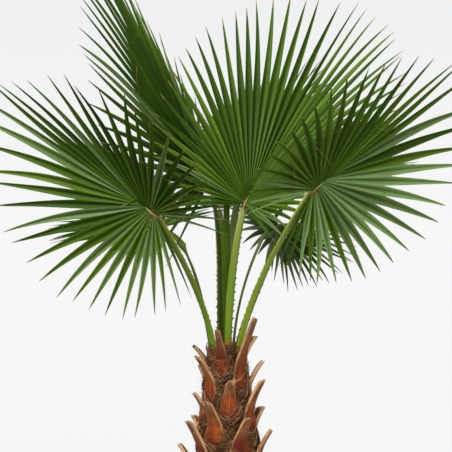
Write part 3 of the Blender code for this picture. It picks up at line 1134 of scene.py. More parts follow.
@dataclass
class FanMaker:
    """Builds one fan as a pleated sheet that parts into drooping leaflets.

    fused_share is the part of a leaflet's grid that lies in the joined blade. A pair of limits is
    the least and the greatest that a thread is dealt.
    """

    frond: Frond
    ribs: Array
    layout: Layout
    fused_rows: int = 7
    free_rows: int = 15
    fused_share: float = 0.4
    rib_share: float = 0.08
    tip_start: float = 0.935
    columns: tuple[float, ...] = (0.0, 0.10, 0.55, 1.0)
    pleat: float = 0.46
    droop: float = 0.045
    sway: float = 0.018
    thread_count: int = 22
    thread_lengths: Limits = (0.030, 0.095)
    thread_radii: Limits = (0.0004, 0.0007)
    thread_coils: Limits = (0.001, 0.006)
    thread_turns: Limits = (0.6, 2.2)
    # painted sheen: the outermost, drooping leaflets are dealt more of the waxy and pale greens
    side_sheen_tones: Shares = (0.10, 0.26, 0.08, 0.46, 0.10)
    parted: list[Array] = field(default_factory=list)
    greens: tuple[Tone, ...] = (Tone.DEEP, Tone.MIDDLE, Tone.FRESH, Tone.WAXY_SHEEN, Tone.PALE)

    def split_share(self, index: int, rng: np.random.Generator) -> float:
        """Where the blade parts at a ridge: half way, or sooner where leaflets stand wide apart.

        Args:
            index: The ridge's row in the layout.
            rng: The source of its chances.

        Returns:
            The share of the ridge's length that is still joined.
        """
        width = self.layout.spacing[index] * self.layout.lengths[index]
        outer = abs(index / self.frond.leaflets - 1.0) ** 3
        widest = LEAFLET_WIDEST + (LEAFLET_NARROWEST - LEAFLET_WIDEST) * outer
        return float(min(SPLIT_SHARE, widest / width)) * (1.0 + 0.04 * float(rng.normal()))

    def slack(self, index: int) -> float:
        """How much of a wide-set leaflet's width opens only past its split, from 0 to 1."""
        width = self.layout.spacing[index] * self.layout.lengths[index] * SPLIT_SHARE
        return float(np.clip(width / LEAFLET_WIDEST - 1.0, 0.0, 1.0)) * 0.35

    def leaflet(
        self, template: Template, index: int, ridge: int, splits: Array, bend: Array
    ) -> Array:
        """Places one half of a leaflet, from its rib to one ridge.

        Args:
            template: The half leaflet's grid.
            index: The rib's row in the layout.
            ridge: The ridge's row in the layout.
            splits: Where each row of the layout parts.
            bend: How far the tip is carried off its straight line.

        Returns:
            The place of each of the grid's vertices.
        """
        lay = self.layout
        rib_length = self.ribs[index // 2]
        joined = self.fused_share
        inner = np.clip(template.along / joined, 0.0, 1.0)[:, None]
        free = np.clip((template.along - joined) / (1.0 - joined), 0.0, 1.0)[:, None]
        a = template.around[:, None]

        def fused(row: int, share: Array, lift: float) -> Array:
            """A point on a rib or ridge of the joined blade.

            Args:
                row: The rib's or ridge's row in the layout.
                share: How far out along it.
                lift: 1 for a ridge and -1 for a rib.

            Returns:
                One point for each share.
            """
            far = lay.lengths[row] * share
            height = lift * 0.5 * self.pleat * lay.spacing[row] * far
            return lay.bases[row] + lay.directions[row] * far + lay.normals[row] * height

        split = splits[index]
        rib = fused(index, split * inner, -1.0)
        edge = fused(ridge, splits[ridge] * inner, 1.0)
        flank = edge - rib
        reach = rib_length - lay.lengths[index] * split
        swell = 1.0 + 0.9 * self.slack(index) * np.sin(math.pi * np.minimum(free * 1.7, 1.0))
        taper = (1.0 - free) ** 0.74 * (1.0 - 0.12 * free) * swell + 0.014
        depth = 0.5 * self.pleat * lay.spacing[index] * lay.lengths[index] * split
        out = lay.directions[index] * reach * free + lay.normals[index] * depth * free
        out = out + bend * free**2
        bulge = np.sin(math.pi * a) * 0.05 * np.linalg.norm(flank, axis=1)[:, None] * taper
        return rib + out + flank * a * np.where(free > 0.0, taper, 1.0) - lay.normals[index] * bulge

    def green_shares(self, index: int) -> Array:
        """How likely each green is for a leaflet.

        The mixture moves over from the first side's to the last side's, and the outermost leaflets
        take more of the waxy tones, with their painted sheen.

        Args:
            index: The leaflet's place, from the first side.

        Returns:
            One chance for each green, which add up to 1.
        """
        near = np.array(self.frond.tones)
        far = np.array(self.frond.far_tones or self.frond.tones)
        place_across = (index + 0.5) / self.frond.leaflets
        across = float(np.clip(0.5 + 3.0 * (place_across - 0.5), 0.0, 1.0))
        edge = float(np.clip((abs(2.0 * place_across - 1.0) - 0.70) / 0.18, 0.0, 1.0))
        share = near * (1.0 - across) + far * across
        share = share * (1.0 - edge) + 0.5 * (np.array(self.side_sheen_tones) + far) * edge
        return share / share.sum()

    def build(self, palette: dict[Tone, bpy.types.Material]) -> bpy.types.Object:
        """Makes the fan's piece.

        Args:
            palette: The leaflets' materials.

        Returns:
            The piece.
        """
        layout = self.layout
        rng = np.random.default_rng(SEED + len(self.frond.name) * 31 + ord(self.frond.name[0]))
        joined = self.fused_share
        inner = np.linspace(0.0, joined, self.fused_rows)
        outer = joined + (1.0 - joined) * np.linspace(0.0, 1.0, self.free_rows + 1)[1:] ** 0.85
        template = strip_template(self.columns, np.concatenate([inner, outer]).tolist())
        tones = [*self.greens, Tone.RIB, Tone.TIP]
        builder = Builder(f"leaflets_{self.frond.name}", [palette[t] for t in tones])
        rows = 2 * self.frond.leaflets + 1
        splits = np.array([self.split_share(r, rng) for r in range(rows)])
        rib_faces = np.array([template.around[list(f)].mean() < self.rib_share for f in template.faces])
        tip_faces = template.centres > self.tip_start
        down = np.array((0.0, 0.0, -1.0))
        for i in range(self.frond.leaflets):
            k = 2 * i + 1
            direction, normal = layout.directions[k], layout.normals[k]
            sag = self.droop * (0.4 + 1.2 * rng.random()) * math.sqrt(max(1.0 - direction[2] ** 2, 0.0))
            sideways = normal * rng.normal() + np.cross(normal, direction) * rng.normal()
            bend = self.ribs[i] * (down * sag + sideways * self.sway)
            green = int(rng.choice(len(self.greens), p=self.green_shares(i)))
            slots = np.where(rib_faces, tones.index(Tone.RIB), green)
            slots = np.where(tip_faces, tones.index(Tone.TIP), slots).tolist()
            tone = float(rng.random())
            for ridge in (k - 1, k + 1):
                builder.lay(template, self.leaflet(template, k, ridge, splits, bend), slots, tone=tone)
        self.parted = [
            layout.bases[r] + layout.directions[r] * layout.lengths[r] * splits[r]
            for r in range(2, rows - 2, 2)
        ]
        node = f"fan_{self.frond.name}"
        return builder.build([node], "leaf", weld=2e-5, crease=24.0, thickness=LEAFLET_THICKNESS)

    def threads(self, builder: Builder, rng: np.random.Generator) -> None:
        """Adds the curling threads that hang where leaflets part.

        Args:
            builder: The joined piece that they go into.
            rng: The source of their chances.
        """
        template = rod_template(3, 14)
        axis = Vector(self.layout.normals[self.frond.leaflets])
        count = min(self.thread_count, len(self.parted))
        for index in rng.choice(len(self.parted), size=count, replace=False):
            start = Vector(self.parted[int(index)])
            outwards = (start - Vector(self.frond.hub)).normalized()
            aim = (outwards * 0.7 + Vector(rng.normal(0.0, 0.55, 3)) + axis * 0.1).normalized()
            curl = (Vector((0.0, 0.0, -1.0)) + Vector(rng.normal(0.0, 0.5, 3))).normalized()
            ranges = (self.thread_lengths, self.thread_radii, self.thread_coils, self.thread_turns)
            sizes = [rng.uniform(*limits) for limits in ranges]
            builder.scatter(template, thread_points(template, start, aim, curl, *sizes), rng)


@dataclass
class StalkMaker:
    """Builds one stalk with its channelled section, and the thorns on its margins."""

    frond: Frond
    sides: int = 20
    rings: int = 46
    thorn_gap: float = 0.021
    thorn_size: float = 0.0075

    def frame_at(self, share: float) -> tuple[Vector, Vector, Vector, Vector, float, float]:
        """Centre, direction, sideways, face, half width and half thickness at a share of the stalk.

        Args:
            share: From 0 at the foot to 1 at the hub.

        Returns:
            The six of them.
        """
        control = stalk_curve(self.frond)
        turn = math.radians(self.frond.turn)
        outer = self.frond.ring == OUTER_RING
        foot_width = STALK_FOOT_WIDTH if outer else STALK_INNER_WIDTH
        start_face = outward(turn)
        normal = Vector(fan_axes(self.frond)[2])
        end_face = normal if normal.dot(start_face) > 0.0 else -normal
        ahead = bezier(control, min(share + 0.02, 1.0)) - bezier(control, max(share - 0.02, 0.0))
        ahead.normalize()
        face = start_face.lerp(end_face, share**1.3)
        face = (face - ahead * face.dot(ahead)).normalized()
        sideways = ahead.cross(face).normalized()
        blend = min(share / 0.3, 1.0)
        width = 0.5 * (foot_width + (STALK_WIDTH - foot_width) * blend)
        width *= 1.0 - 0.24 * max(share - 0.3, 0.0)
        thick = 0.5 * STALK_THICKNESS * (1.0 - 0.12 * share)
        if share > 0.9:
            width *= 1.0 - 0.3 * (share - 0.9) / 0.1
            thick += (STALK_TIP_THICKNESS - thick) * (share - 0.9) / 0.1
        return bezier(control, share), ahead, sideways, face, width, thick

    def build(self, skin: bpy.types.Material) -> bpy.types.Object:
        """Makes the stalk's piece.

        Args:
            skin: Its material.

        Returns:
            The piece.
        """
        template = rod_template(self.sides, self.rings)
        frames = {}
        points = np.zeros((len(template.along), 3))
        for n, angle, along in template.vertices():
            key = round(float(along), 5)
            if key not in frames:
                frames[key] = self.frame_at(key)
            centre, _, sideways, face, width, thick = frames[key]
            across = math.cos(angle)
            through = math.sin(angle)
            if through > 0.0:
                through = through**0.8
            else:
                through = -(abs(through) ** 0.9) * (0.62 - 0.34 * (1.0 - across * across) ** 2)
            points[n] = centre + sideways * width * across + face * thick * through
        builder = Builder(f"stalk_skin_{self.frond.name}", [skin])
        builder.lay(template, points)
        return builder.build([f"stalk_{self.frond.name}"], "stalk", crease=50.0)

    def thorns(self, builder: Builder, rng: np.random.Generator) -> None:
        """Adds the hooked thorns of both margins, from the foot to two thirds up.

        Args:
            builder: The joined piece that they go into.
            rng: The source of their chances.
        """
        template = rod_template(4, 2)
        control = stalk_curve(self.frond)
        length = sum(
            (bezier(control, (s + 1) / 20.0) - bezier(control, s / 20.0)).length for s in range(20)
        )
        for margin in (-1.0, 1.0):
            share = 0.05 + 0.03 * rng.random()
            while share < 0.74:
                centre, ahead, sideways, face, width, _ = self.frame_at(share)
                size = self.thorn_size * (0.75 + 0.5 * rng.random()) * (1.0 - 0.45 * share)
                out = sideways * margin
                hook = ahead if rng.random() < 0.7 else -ahead
                root = centre + out * (width - 0.0012)
                thick = 0.36 * size
                points = np.zeros((len(template.along), 3))
                for n, angle, along in template.vertices():
                    slim = (1.0 - 0.93 * along) * thick
                    side = ahead * math.cos(angle) * slim * 1.4 + face * math.sin(angle) * slim * 0.6
                    points[n] = root + out * size * along + hook * size * 0.75 * along**2 + side
                builder.lay(template, points, tone=float(rng.random()))
                share += self.thorn_gap / length * (0.7 + 0.6 * rng.random())


@dataclass
class Hub:
    """The hastula and the tapering costa where a stalk enters its fan."""

    frond: Frond
    width: float = 0.0048
    thickness: float = 0.0036
    fuzz_count: int = 90
    fuzz_reach: float = 0.012
    fuzz_lengths: Limits = (0.007, 0.020)
    fuzz_radii: Limits = (0.0004, 0.0007)

    def lay(self, builder: Builder) -> None:
        """Adds the hub's tapering ridge to a joined piece.

        Args:
            builder: The joined piece.
        """
        template = rod_template(10, 12)
        along, side, normal = (Vector(a) for a in fan_axes(self.frond))
        hub = Vector(self.frond.hub)
        control = stalk_curve(self.frond)
        arrive = (bezier(control, 1.0) - bezier(control, 0.96)).normalized()
        reach = self.frond.costa * self.frond.reach * 0.55
        start = hub - arrive * 0.016
        points = np.zeros((len(template.along), 3))
        for n, angle, share in template.vertices():
            swell = math.sin(math.pi * min(share * 2.2 + 0.08, 1.0) * 0.5) * (1.0 - share) ** 0.8 + 0.06
            centre = start.lerp(hub + along * reach, share)
            point = centre + side * math.cos(angle) * self.width * swell
            points[n] = point + normal * math.sin(angle) * self.thickness * (swell + 0.25)
        builder.lay(template, points)

    def fuzz(self, builder: Builder, rng: np.random.Generator) -> None:
        """Adds the rusty down that gathers round the hub.

        Args:
            builder: The joined piece that it goes into.
            rng: The source of its chances.
        """
        template = rod_template(3, 5)
        along, side, normal = (Vector(a) for a in fan_axes(self.frond))
        for _ in range(self.fuzz_count):
            angle = math.tau * rng.random()
            out = along * math.cos(angle) + side * math.sin(angle)
            face = normal if rng.random() < 0.5 else -normal
            start = Vector(self.frond.hub) + out * self.fuzz_reach * math.sqrt(rng.random()) + face * 0.0035
            aim = (out * rng.uniform(0.3, 1.0) + face * rng.uniform(0.1, 0.7)).normalized()
            curl = Vector(rng.normal(0.0, 1.0, 3)).normalized()
            length = rng.uniform(*self.fuzz_lengths)
            thick = rng.uniform(*self.fuzz_radii)
            builder.scatter(template, thread_points(template, start, aim, curl, length, thick, 0.001), rng)


# ---- trunk


@dataclass
class Trunk:
    """The core with its bark relief, the cut leaf bases, and the fibre between them.

    boot_widths and walls give a leaf base's width and wall at the shares of its height beside them,
    and a pair of limits is the least and the greatest that a strand is dealt.
    """

    core_sides: int = 96
    core_rings: int = 120
    boot_sides: int = 26
    boot_rings: int = 30
    seam_depth: float = 0.011
    boot_shares: tuple[float, ...] = (0.0, 0.06, 0.16, 0.30, 0.50, 0.75, 1.0)
    boot_widths: tuple[float, ...] = (0.10, 0.62, 1.0, 0.90, 0.66, 0.50, 0.46)
    wall_shares: tuple[float, ...] = (0.0, 0.15, 0.4, 0.75, 1.0)
    walls: tuple[float, ...] = (0.3, 0.75, 1.05, 1.35, 1.45)
    strands: int = 3800
    strand_slants: Limits = (18.0, 78.0)
    strand_lengths: Limits = (0.03, 0.11)
    fine: Limits = (0.0004, 0.0010)
    coarse: Limits = (0.0012, 0.0020)
    cuff_strands: int = 2300
    cuff_coarse: Limits = (0.0011, 0.0018)
    strand_lift: float = 0.0125
    collar_heights: Limits = (0.885, 0.935)
    collar_lift: float = 0.016
    collar_every: int = 9
    hairs: int = 2200
    hair_radii: Limits = (0.0003, 0.0006)

    def core(self, bark: bpy.types.Material) -> bpy.types.Object:
        """Makes the core with its upright fibre relief.

        Args:
            bark: Its material.

        Returns:
            The piece.
        """
        template = rod_template(self.core_sides, self.core_rings)
        points = np.zeros((len(template.along), 3))
        for n, angle, along in template.vertices():
            z = TRUNK_BASE + (TRUNK_TOP - TRUNK_BASE) * along
            spot = Vector((math.cos(angle) * 9.0, math.sin(angle) * 9.0, z * 16.0))
            relief = 0.0022 * noise.noise(spot) + 0.0012 * noise.noise(spot * 3.1)
            radius = trunk_radius(z) - 0.0008 + min(relief, 0.0005)
            points[n] = trunk_centre(z) + Vector((math.cos(angle), math.sin(angle), 0.0)) * radius
        builder = Builder("trunk_bark", [bark])
        builder.lay(template, points)
        return builder.build(["trunk"], "fibre", crease=60.0)

    def boot(self, template: Template, index: int) -> tuple[Array, Array]:
        """Places the vertices of one leaf base: a shield on the trunk that narrows to a cut stub.

        Args:
            template: The rod that it is shaped from.
            index: Its place in the spiral, from the crown down.

        Returns:
            The place of each vertex, and its height as a share: half way at the shield's shoulder.
        """
        turn, level, foot = boot_seat(index)
        stub = BOOT_LONG_STUBS.get(index, BOOT_STUB + 0.016 * math.sin(7.31 * index + 1.3))
        slim = 0.34 if index in BOOT_LONG_STUBS else 0.0
        widest = clad_radius(level) * math.radians(BOOT_HALF_ANGLE)
        swing = 0.10 * math.sin(3.17 * index + 0.4)
        seam = self.seam_depth * max(math.sin(5.3 * index), 0.0)
        count = len(template.along)
        points, shares = np.zeros((count, 3)), np.zeros(count)
        for n, angle, along in template.vertices():
            height = -foot + (foot + stub) * along
            across = math.cos(angle)
            shares[n] = 0.5 + 0.5 * (height / stub if height > 0.0 else height / foot)
            torn = noise.noise(Vector((across * 2.4, index * 3.7, 0.0))) * 0.016
            torn += noise.noise(Vector((across * 9.0, index * 3.7, 4.0))) * 0.008
            height += torn * max(shares[n] - 0.86, 0.0) / 0.14
            z = level + height
            core = clad_radius(z)
            rise = max(height, 0.0) / stub
            lift = BOOT_LEAN * max(height - 0.004, 0.0) * (0.62 + 0.38 * rise)
            width = float(np.interp(shares[n], self.boot_shares, self.boot_widths))
            half = widest * width * (1.0 - slim * rise)
            thick = BOOT_THICKNESS * float(np.interp(shares[n], self.wall_shares, self.walls))
            width_angle = half / (core + lift)
            inner = (core + 0.0008) / math.cos(width_angle * 0.5) + lift
            crest = max(math.sin(angle), 0.0) ** 0.5
            ridges = noise.noise(Vector((across * 7.0, along * 1.8, index * 5.1)))
            fine = noise.noise(Vector((across * 21.0, along * 2.6, index * 2.3)))
            relief = (0.0015 * ridges + 0.0008 * fine) * crest
            groove = seam * math.exp(-((across / 0.10) ** 2)) * max(0.62 - shares[n], 0.0)
            rim = 0.0016 * math.exp(-(((abs(across) - 0.86) / 0.10) ** 2))
            radius = inner + thick * (0.18 + 0.82 * crest) + relief - groove * crest + rim * crest
            if math.sin(angle) < 0.0:
                radius = inner - 0.0006 * math.sin(angle)
            lean_turn = turn + swing * max(height, 0.0) / 0.08
            points[n] = trunk_centre(z) + outward(lean_turn + width_angle * across) * radius
        return points, shares

    def boots(self, husk: bpy.types.Material) -> bpy.types.Object:
        """Makes every leaf base as one joined piece.

        Args:
            husk: Their material.

        Returns:
            The piece.
        """
        template = rod_template(self.boot_sides, self.boot_rings)
        builder = Builder("leaf_bases", [husk])
        across = 0.5 + 0.5 * np.cos(math.tau * template.around)
        rng = np.random.default_rng(SEED + 7)
        for index in range(BOOTS):
            points, shares = self.boot(template, index)
            builder.lay(template, points, across=across, tone=float(rng.random()), along=shares)
        names = [f"boot_{i:02d}" for i in range(BOOTS)]
        return builder.build(names, "husk", crease=55.0)

    def girth(self, rng: np.random.Generator, fine_share: float, coarse: Limits) -> float:
        """A strand's radius: fine in a share of cases, and coarse in the rest."""
        return float(rng.uniform(*(self.fine if rng.random() < fine_share else coarse)))

    def wound(self, template: Template, z: Array, angle: Array, reach: Array, thick: Array) -> Array:
        """Winds a thin rod about the trunk.

        Args:
            template: The rod.
            z: The height of each of its vertices.
            angle: How far round the trunk each lies.
            reach: How far off the trunk's axis the rod runs.
            thick: The rod's radius.

        Returns:
            The place of each vertex.
        """
        spin = math.tau * template.around
        radius = reach + thick * np.sin(spin)
        ring = [np.sin(angle) * radius, -np.cos(angle) * radius, thick * np.cos(spin)]
        return trunk_line(z) + np.stack(ring, axis=1)

    def strand(
        self, template: Template, rng: np.random.Generator, low: float, high: float, stand_off: float
    ) -> Array:
        """Places one wiry strand that wanders over the trunk.

        Args:
            template: The thin rod.
            rng: The source of its chances.
            low: The lowest height of its middle.
            high: The highest.
            stand_off: How far off the core it may lie.

        Returns:
            The place of each vertex.
        """
        share = template.along
        middle = low + (high - low) * rng.random()
        turn = math.tau * rng.random()
        slant = rng.choice((-1.0, 1.0)) * math.radians(rng.uniform(*self.strand_slants))
        length = rng.uniform(*self.strand_lengths)
        sag = rng.normal(0.0, 0.005, 2)
        phase = rng.uniform(0.0, math.tau, 2)
        beat = rng.uniform(4.0, 13.0, 2)
        thick = self.girth(rng, 0.7, self.coarse) * (1.0 - 0.45 * share)
        wave = [sag[i] * np.sin(beat[i] * share + phase[i]) for i in range(2)]
        z = middle + length * math.cos(slant) * (share - 0.5) + wave[0]
        z = np.clip(z, TRUNK_BASE + 0.004, high + 0.01)
        core = np.maximum(np.interp(z, PROFILE_HEIGHTS, PROFILE_RADII), 0.050)
        lift = stand_off * rng.random() ** 1.5 * (0.4 + 0.6 * np.sin(math.pi * share)) + 0.0012
        angle = turn + (length * math.sin(slant) * (share - 0.5) + wave[1]) / core
        return self.wound(template, z, angle, core + lift, thick)

    def cuff_strand(self, template: Template, rng: np.random.Generator, index: int) -> Array:
        """Places one strand of the fibre that hems a leaf base's foot.

        Args:
            template: The thin rod.
            rng: The source of its chances.
            index: The leaf base's place in the spiral.

        Returns:
            The place of each vertex.
        """
        share = template.along
        turn, level, foot = boot_seat(index)
        around = rng.uniform(-0.05, 0.85) + rng.uniform(0.12, 0.35) * share
        low = 0.5 - 0.5 * np.clip(np.sin(math.pi * np.clip(around, 0.0, 1.0)), 0.0, 1.0) ** 0.7
        beat, phase = rng.uniform(3.0, 11.0, 2), rng.uniform(0.0, math.tau, 2)
        sway = 0.0035 * np.sin(beat[0] * share + phase[0]) + rng.normal(0.0, 0.0035)
        z = level - foot + 2.0 * foot * low + 0.0045 * np.sin(beat[1] * share + phase[1])
        z = np.maximum(z + rng.normal(0.0, 0.005), TRUNK_BASE + 0.004)
        core = np.maximum(np.interp(z, PROFILE_HEIGHTS, PROFILE_RADII), CLAD_RADIUS)
        widest = core * math.radians(BOOT_HALF_ANGLE)
        half = widest * np.interp(low, self.boot_shares, self.boot_widths)
        across = -np.cos(math.pi * around) * np.maximum(half, 0.5 * widest) + sway
        lift = BOOT_THICKNESS * rng.uniform(0.45, 1.15) + 0.003 * np.sin(math.pi * share)
        thick = self.girth(rng, 0.6, self.cuff_coarse) * (1.0 - 0.45 * share)
        return self.wound(template, z, turn + across / core, core + lift, thick)

    def matting(self, threads: Sequence[bpy.types.Material]) -> list[bpy.types.Object]:
        """Makes the tangled fibre on the trunk, round the stalks' feet and along each base's foot.

        Args:
            threads: The materials that the strands are dealt.

        Returns:
            The lower, upper, collar and cuff pieces.
        """
        template = rod_template(3, 9)
        parts = [Builder(f"fibre_{part}", threads) for part in ("lower", "upper", "collar", "cuffs")]
        lower, upper, collar, cuffs = parts
        rng = np.random.default_rng(SEED + 11)
        for n in range(self.strands):
            if n % self.collar_every == 0:
                points = self.strand(template, rng, *self.collar_heights, self.collar_lift)
                collar.scatter(template, points, rng)
            else:
                limits = (TRUNK_BASE + 0.015, self.collar_heights[0])
                points = self.strand(template, rng, *limits, self.strand_lift)
                below = points[0, 2] < 0.5 * (TRUNK_BASE + TRUNK_TOP)
                (lower if below else upper).scatter(template, points, rng)
        for n in range(self.cuff_strands):
            cuffs.scatter(template, self.cuff_strand(template, rng, n % BOOTS), rng)
        return [part.build([], "fibre") for part in parts]

    def frizz(self, threads: Sequence[bpy.types.Material]) -> bpy.types.Object:
        """Makes the loose hairs that stand off the leaf bases' edges.

        Args:
            threads: The materials that the hairs are dealt.

        Returns:
            The piece.
        """
        template = rod_template(3, 4)
        builder = Builder("fibre_hairs", threads)
        rng = np.random.default_rng(SEED + 13)
        for _ in range(self.hairs):
            turn, level, _foot = boot_seat(int(rng.integers(BOOTS)))
            side = float(rng.choice((-1.0, 1.0)))
            height = max(level + rng.uniform(-0.05, 0.03), TRUNK_BASE + 0.01)
            start_angle = turn + side * math.radians(BOOT_HALF_ANGLE) * rng.uniform(0.5, 1.1)
            start = trunk_centre(height) + outward(start_angle) * (trunk_radius(min(height, 0.89)) + 0.004)
            length = 0.010 + 0.030 * rng.random() ** 1.6
            aim = outward(start_angle + rng.normal() * 0.9) * rng.uniform(0.35, 0.85)
            aim = (aim + Vector((0.0, 0.0, rng.normal() * 0.8))).normalized()
            curl = Vector(rng.normal(0.0, 1.0, 3)).normalized()
            thick = rng.uniform(*self.hair_radii)
            builder.scatter(template, thread_points(template, start, aim, curl, length, thick), rng)
        return builder.build([], "fibre")


@dataclass
class YoungLeaf:
    """The folded spear at the crown's middle."""

    sides: int = 36
    rings: int = 60
    pleats: int = 9
    shares: tuple[float, ...] = (0.0, 0.15, 0.35, 0.55, 0.75, 0.9, 1.0)
    widths: tuple[float, ...] = (1.0, 1.05, 1.15, 1.2, 0.95, 0.55, 0.1)

    def build(self, green: bpy.types.Material) -> bpy.types.Object:
        """Makes the pleated, tapering rod.

        Args:
            green: Its material.

        Returns:
            The piece.
        """
        template = rod_template(self.sides, self.rings)
        control = spear_curve()
        points = np.zeros((len(template.along), 3))
        for n, angle, along in template.vertices():
            width = SPEAR_RADIUS * float(np.interp(along, self.shares, self.widths))
            width *= 0.88 + 0.12 * math.cos(self.pleats * angle)
            spoke = Vector((math.cos(angle), 0.8 * math.sin(angle), 0.0))
            points[n] = bezier(control, float(along)) + spoke * width
        builder = Builder("young_leaf", [green])
        builder.lay(template, points, across=template.around * 4.0)
        return builder.build(["spear"], "young_leaf", crease=35.0)


# ---- pot and soil


@dataclass
class Pot:
    """The clay pot, turned from one bevelled outline, and its filling."""

    steps: int = 128
    soft_edge: float = 0.0028
    soil_rings: int = 26
    chips: int = 420
    chip_ring: Limits = (0.135, 0.196)

    def wall_radius(self, height: float) -> float:
        """Outer radius of the tapering wall under the rim band."""
        share = height / (POT_HEIGHT - RIM_BAND_HEIGHT)
        return POT_FOOT_RADIUS + (POT_RIM_RADIUS - RIM_BAND_STEP - POT_FOOT_RADIUS) * share

    def turned(self, name: str, outline: Sequence[tuple[float, float]], bevel: float) -> bpy.types.Mesh:
        """Turns an outline about the upright axis.

        Args:
            name: The mesh's name.
            outline: Radius and height of each corner, from the axis back to the axis.
            bevel: The rounding of the corners.

        Returns:
            The closed mesh.
        """
        bm = bmesh.new()
        corners = [bm.verts.new((radius, 0.0, height)) for radius, height in outline]
        for a, b in zip(corners, corners[1:]):
            bm.edges.new((a, b))
        if bevel:
            bmesh.ops.bevel(
                bm, geom=corners[1:-1], offset=bevel, segments=3, profile=0.5, affect="VERTICES", material=-1
            )
        bmesh.ops.spin(
            bm,
            geom=list(bm.verts) + list(bm.edges),
            cent=(0.0, 0.0, 0.0),
            axis=(0.0, 0.0, 1.0),
            angle=math.tau,
            steps=self.steps,
            use_merge=True,
        )
        bmesh.ops.remove_doubles(bm, verts=bm.verts, dist=1e-5)
        bmesh.ops.recalc_face_normals(bm, faces=bm.faces)
        mesh = bpy.data.meshes.new(name)
        bm.to_mesh(mesh)
        bm.free()
        return mesh

    def skinned(self, mesh: bpy.types.Mesh, skin: bpy.types.Material) -> bpy.types.Object:
        """Makes a mesh into a smooth piece of its own name.

        Args:
            mesh: The mesh.
            skin: Its material.

        Returns:
            The piece.
        """
        mesh.materials.append(skin)
        mesh.shade_smooth()
        return place(mesh.name, mesh)

    def shell(self, clay: bpy.types.Material) -> bpy.types.Object:
        """Makes the pot.

        Args:
            clay: Its material.

        Returns:
            The piece.
        """
        band = POT_HEIGHT - RIM_BAND_HEIGHT
        outline = (
            (0.0, 0.0),
            (POT_FOOT_RADIUS, 0.0),
            (self.wall_radius(band), band),
            (POT_RIM_RADIUS - 0.002, band),
            (POT_RIM_RADIUS, POT_HEIGHT),
            (POT_RIM_RADIUS - POT_WALL, POT_HEIGHT),
            (self.wall_radius(band) - POT_WALL, band),
            (POT_FOOT_RADIUS - POT_WALL, POT_FLOOR),
            (0.0, POT_FLOOR),
        )
        piece = self.skinned(self.turned("clay_pot", outline, self.soft_edge), clay)
        piece.data.set_sharp_from_angle(angle=math.radians(50.0))
        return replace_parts(piece, "pot")

    def filling(self, earth: bpy.types.Material) -> bpy.types.Object:
        """Makes the soil with its lumpy top.

        Args:
            earth: Its material.

        Returns:
            The piece.
        """
        edge = self.wall_radius(POT_HEIGHT - RIM_BAND_HEIGHT) - POT_WALL - 0.0008
        rings = self.soil_rings
        top = [(edge * (1.0 - i / rings), SOIL_LEVEL - 0.010) for i in range(rings + 1)]
        outline = [(0.0, SOIL_LEVEL - 0.05), (edge - 0.006, SOIL_LEVEL - 0.05), *top]
        mesh = self.turned("potting_soil", outline, 0.0)
        for vertex in mesh.vertices:
            radius = math.hypot(vertex.co.x, vertex.co.y)
            if vertex.co.z > SOIL_LEVEL - 0.012:
                rise = 0.012 * (1.0 - (radius / edge) ** 3)
                lumps = 0.0035 * noise.noise(vertex.co * 60.0) + 0.0025 * noise.noise(vertex.co * 140.0)
                vertex.co.z = min(vertex.co.z + rise + lumps, SOIL_LEVEL + 0.004)
        piece = self.skinned(mesh, earth)
        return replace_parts(piece, "soil")

    def mulch(self, barks: Sequence[bpy.types.Material]) -> bpy.types.Object:
        """Scatters bark chips over the soil.

        Args:
            barks: The materials that the chips are dealt.

        Returns:
            The piece.
        """
        template = rod_template(5, 1)
        builder = Builder("bark_chips", barks)
        rng = np.random.default_rng(SEED + 17)
        near, far = (radius**2 for radius in self.chip_ring)
        for _ in range(self.chips):
            radius = math.sqrt(near + (far - near) * rng.random())
            turn = math.tau * rng.random()
            height = SOIL_LEVEL - 0.003 + 0.004 * rng.random()
            centre = Vector((radius * math.cos(turn), radius * math.sin(turn), height))
            spin = math.tau * rng.random()
            tilt = rng.normal(0.0, 0.25, 2)
            length = 0.008 + 0.018 * rng.random()
            breadth = length * (0.25 + 0.3 * rng.random())
            depth = 0.0015 + 0.0025 * rng.random()
            ahead = Vector((math.cos(spin), math.sin(spin), float(tilt[0]))).normalized()
            side = Vector((-math.sin(spin), math.cos(spin), float(tilt[1]))).normalized()
            up = ahead.cross(side).normalized()
            points = np.zeros((len(template.along), 3))
            for n, angle, along in template.vertices():
                slim = 0.55 + 0.45 * math.sin(math.pi * along)
                point = centre + ahead * length * (along - 0.5) + side * math.cos(angle) * breadth * slim
                points[n] = point + up * math.sin(angle) * depth * slim
            builder.scatter(template, points, rng)
        return builder.build([], "earth", crease=20.0)


# ---- stage


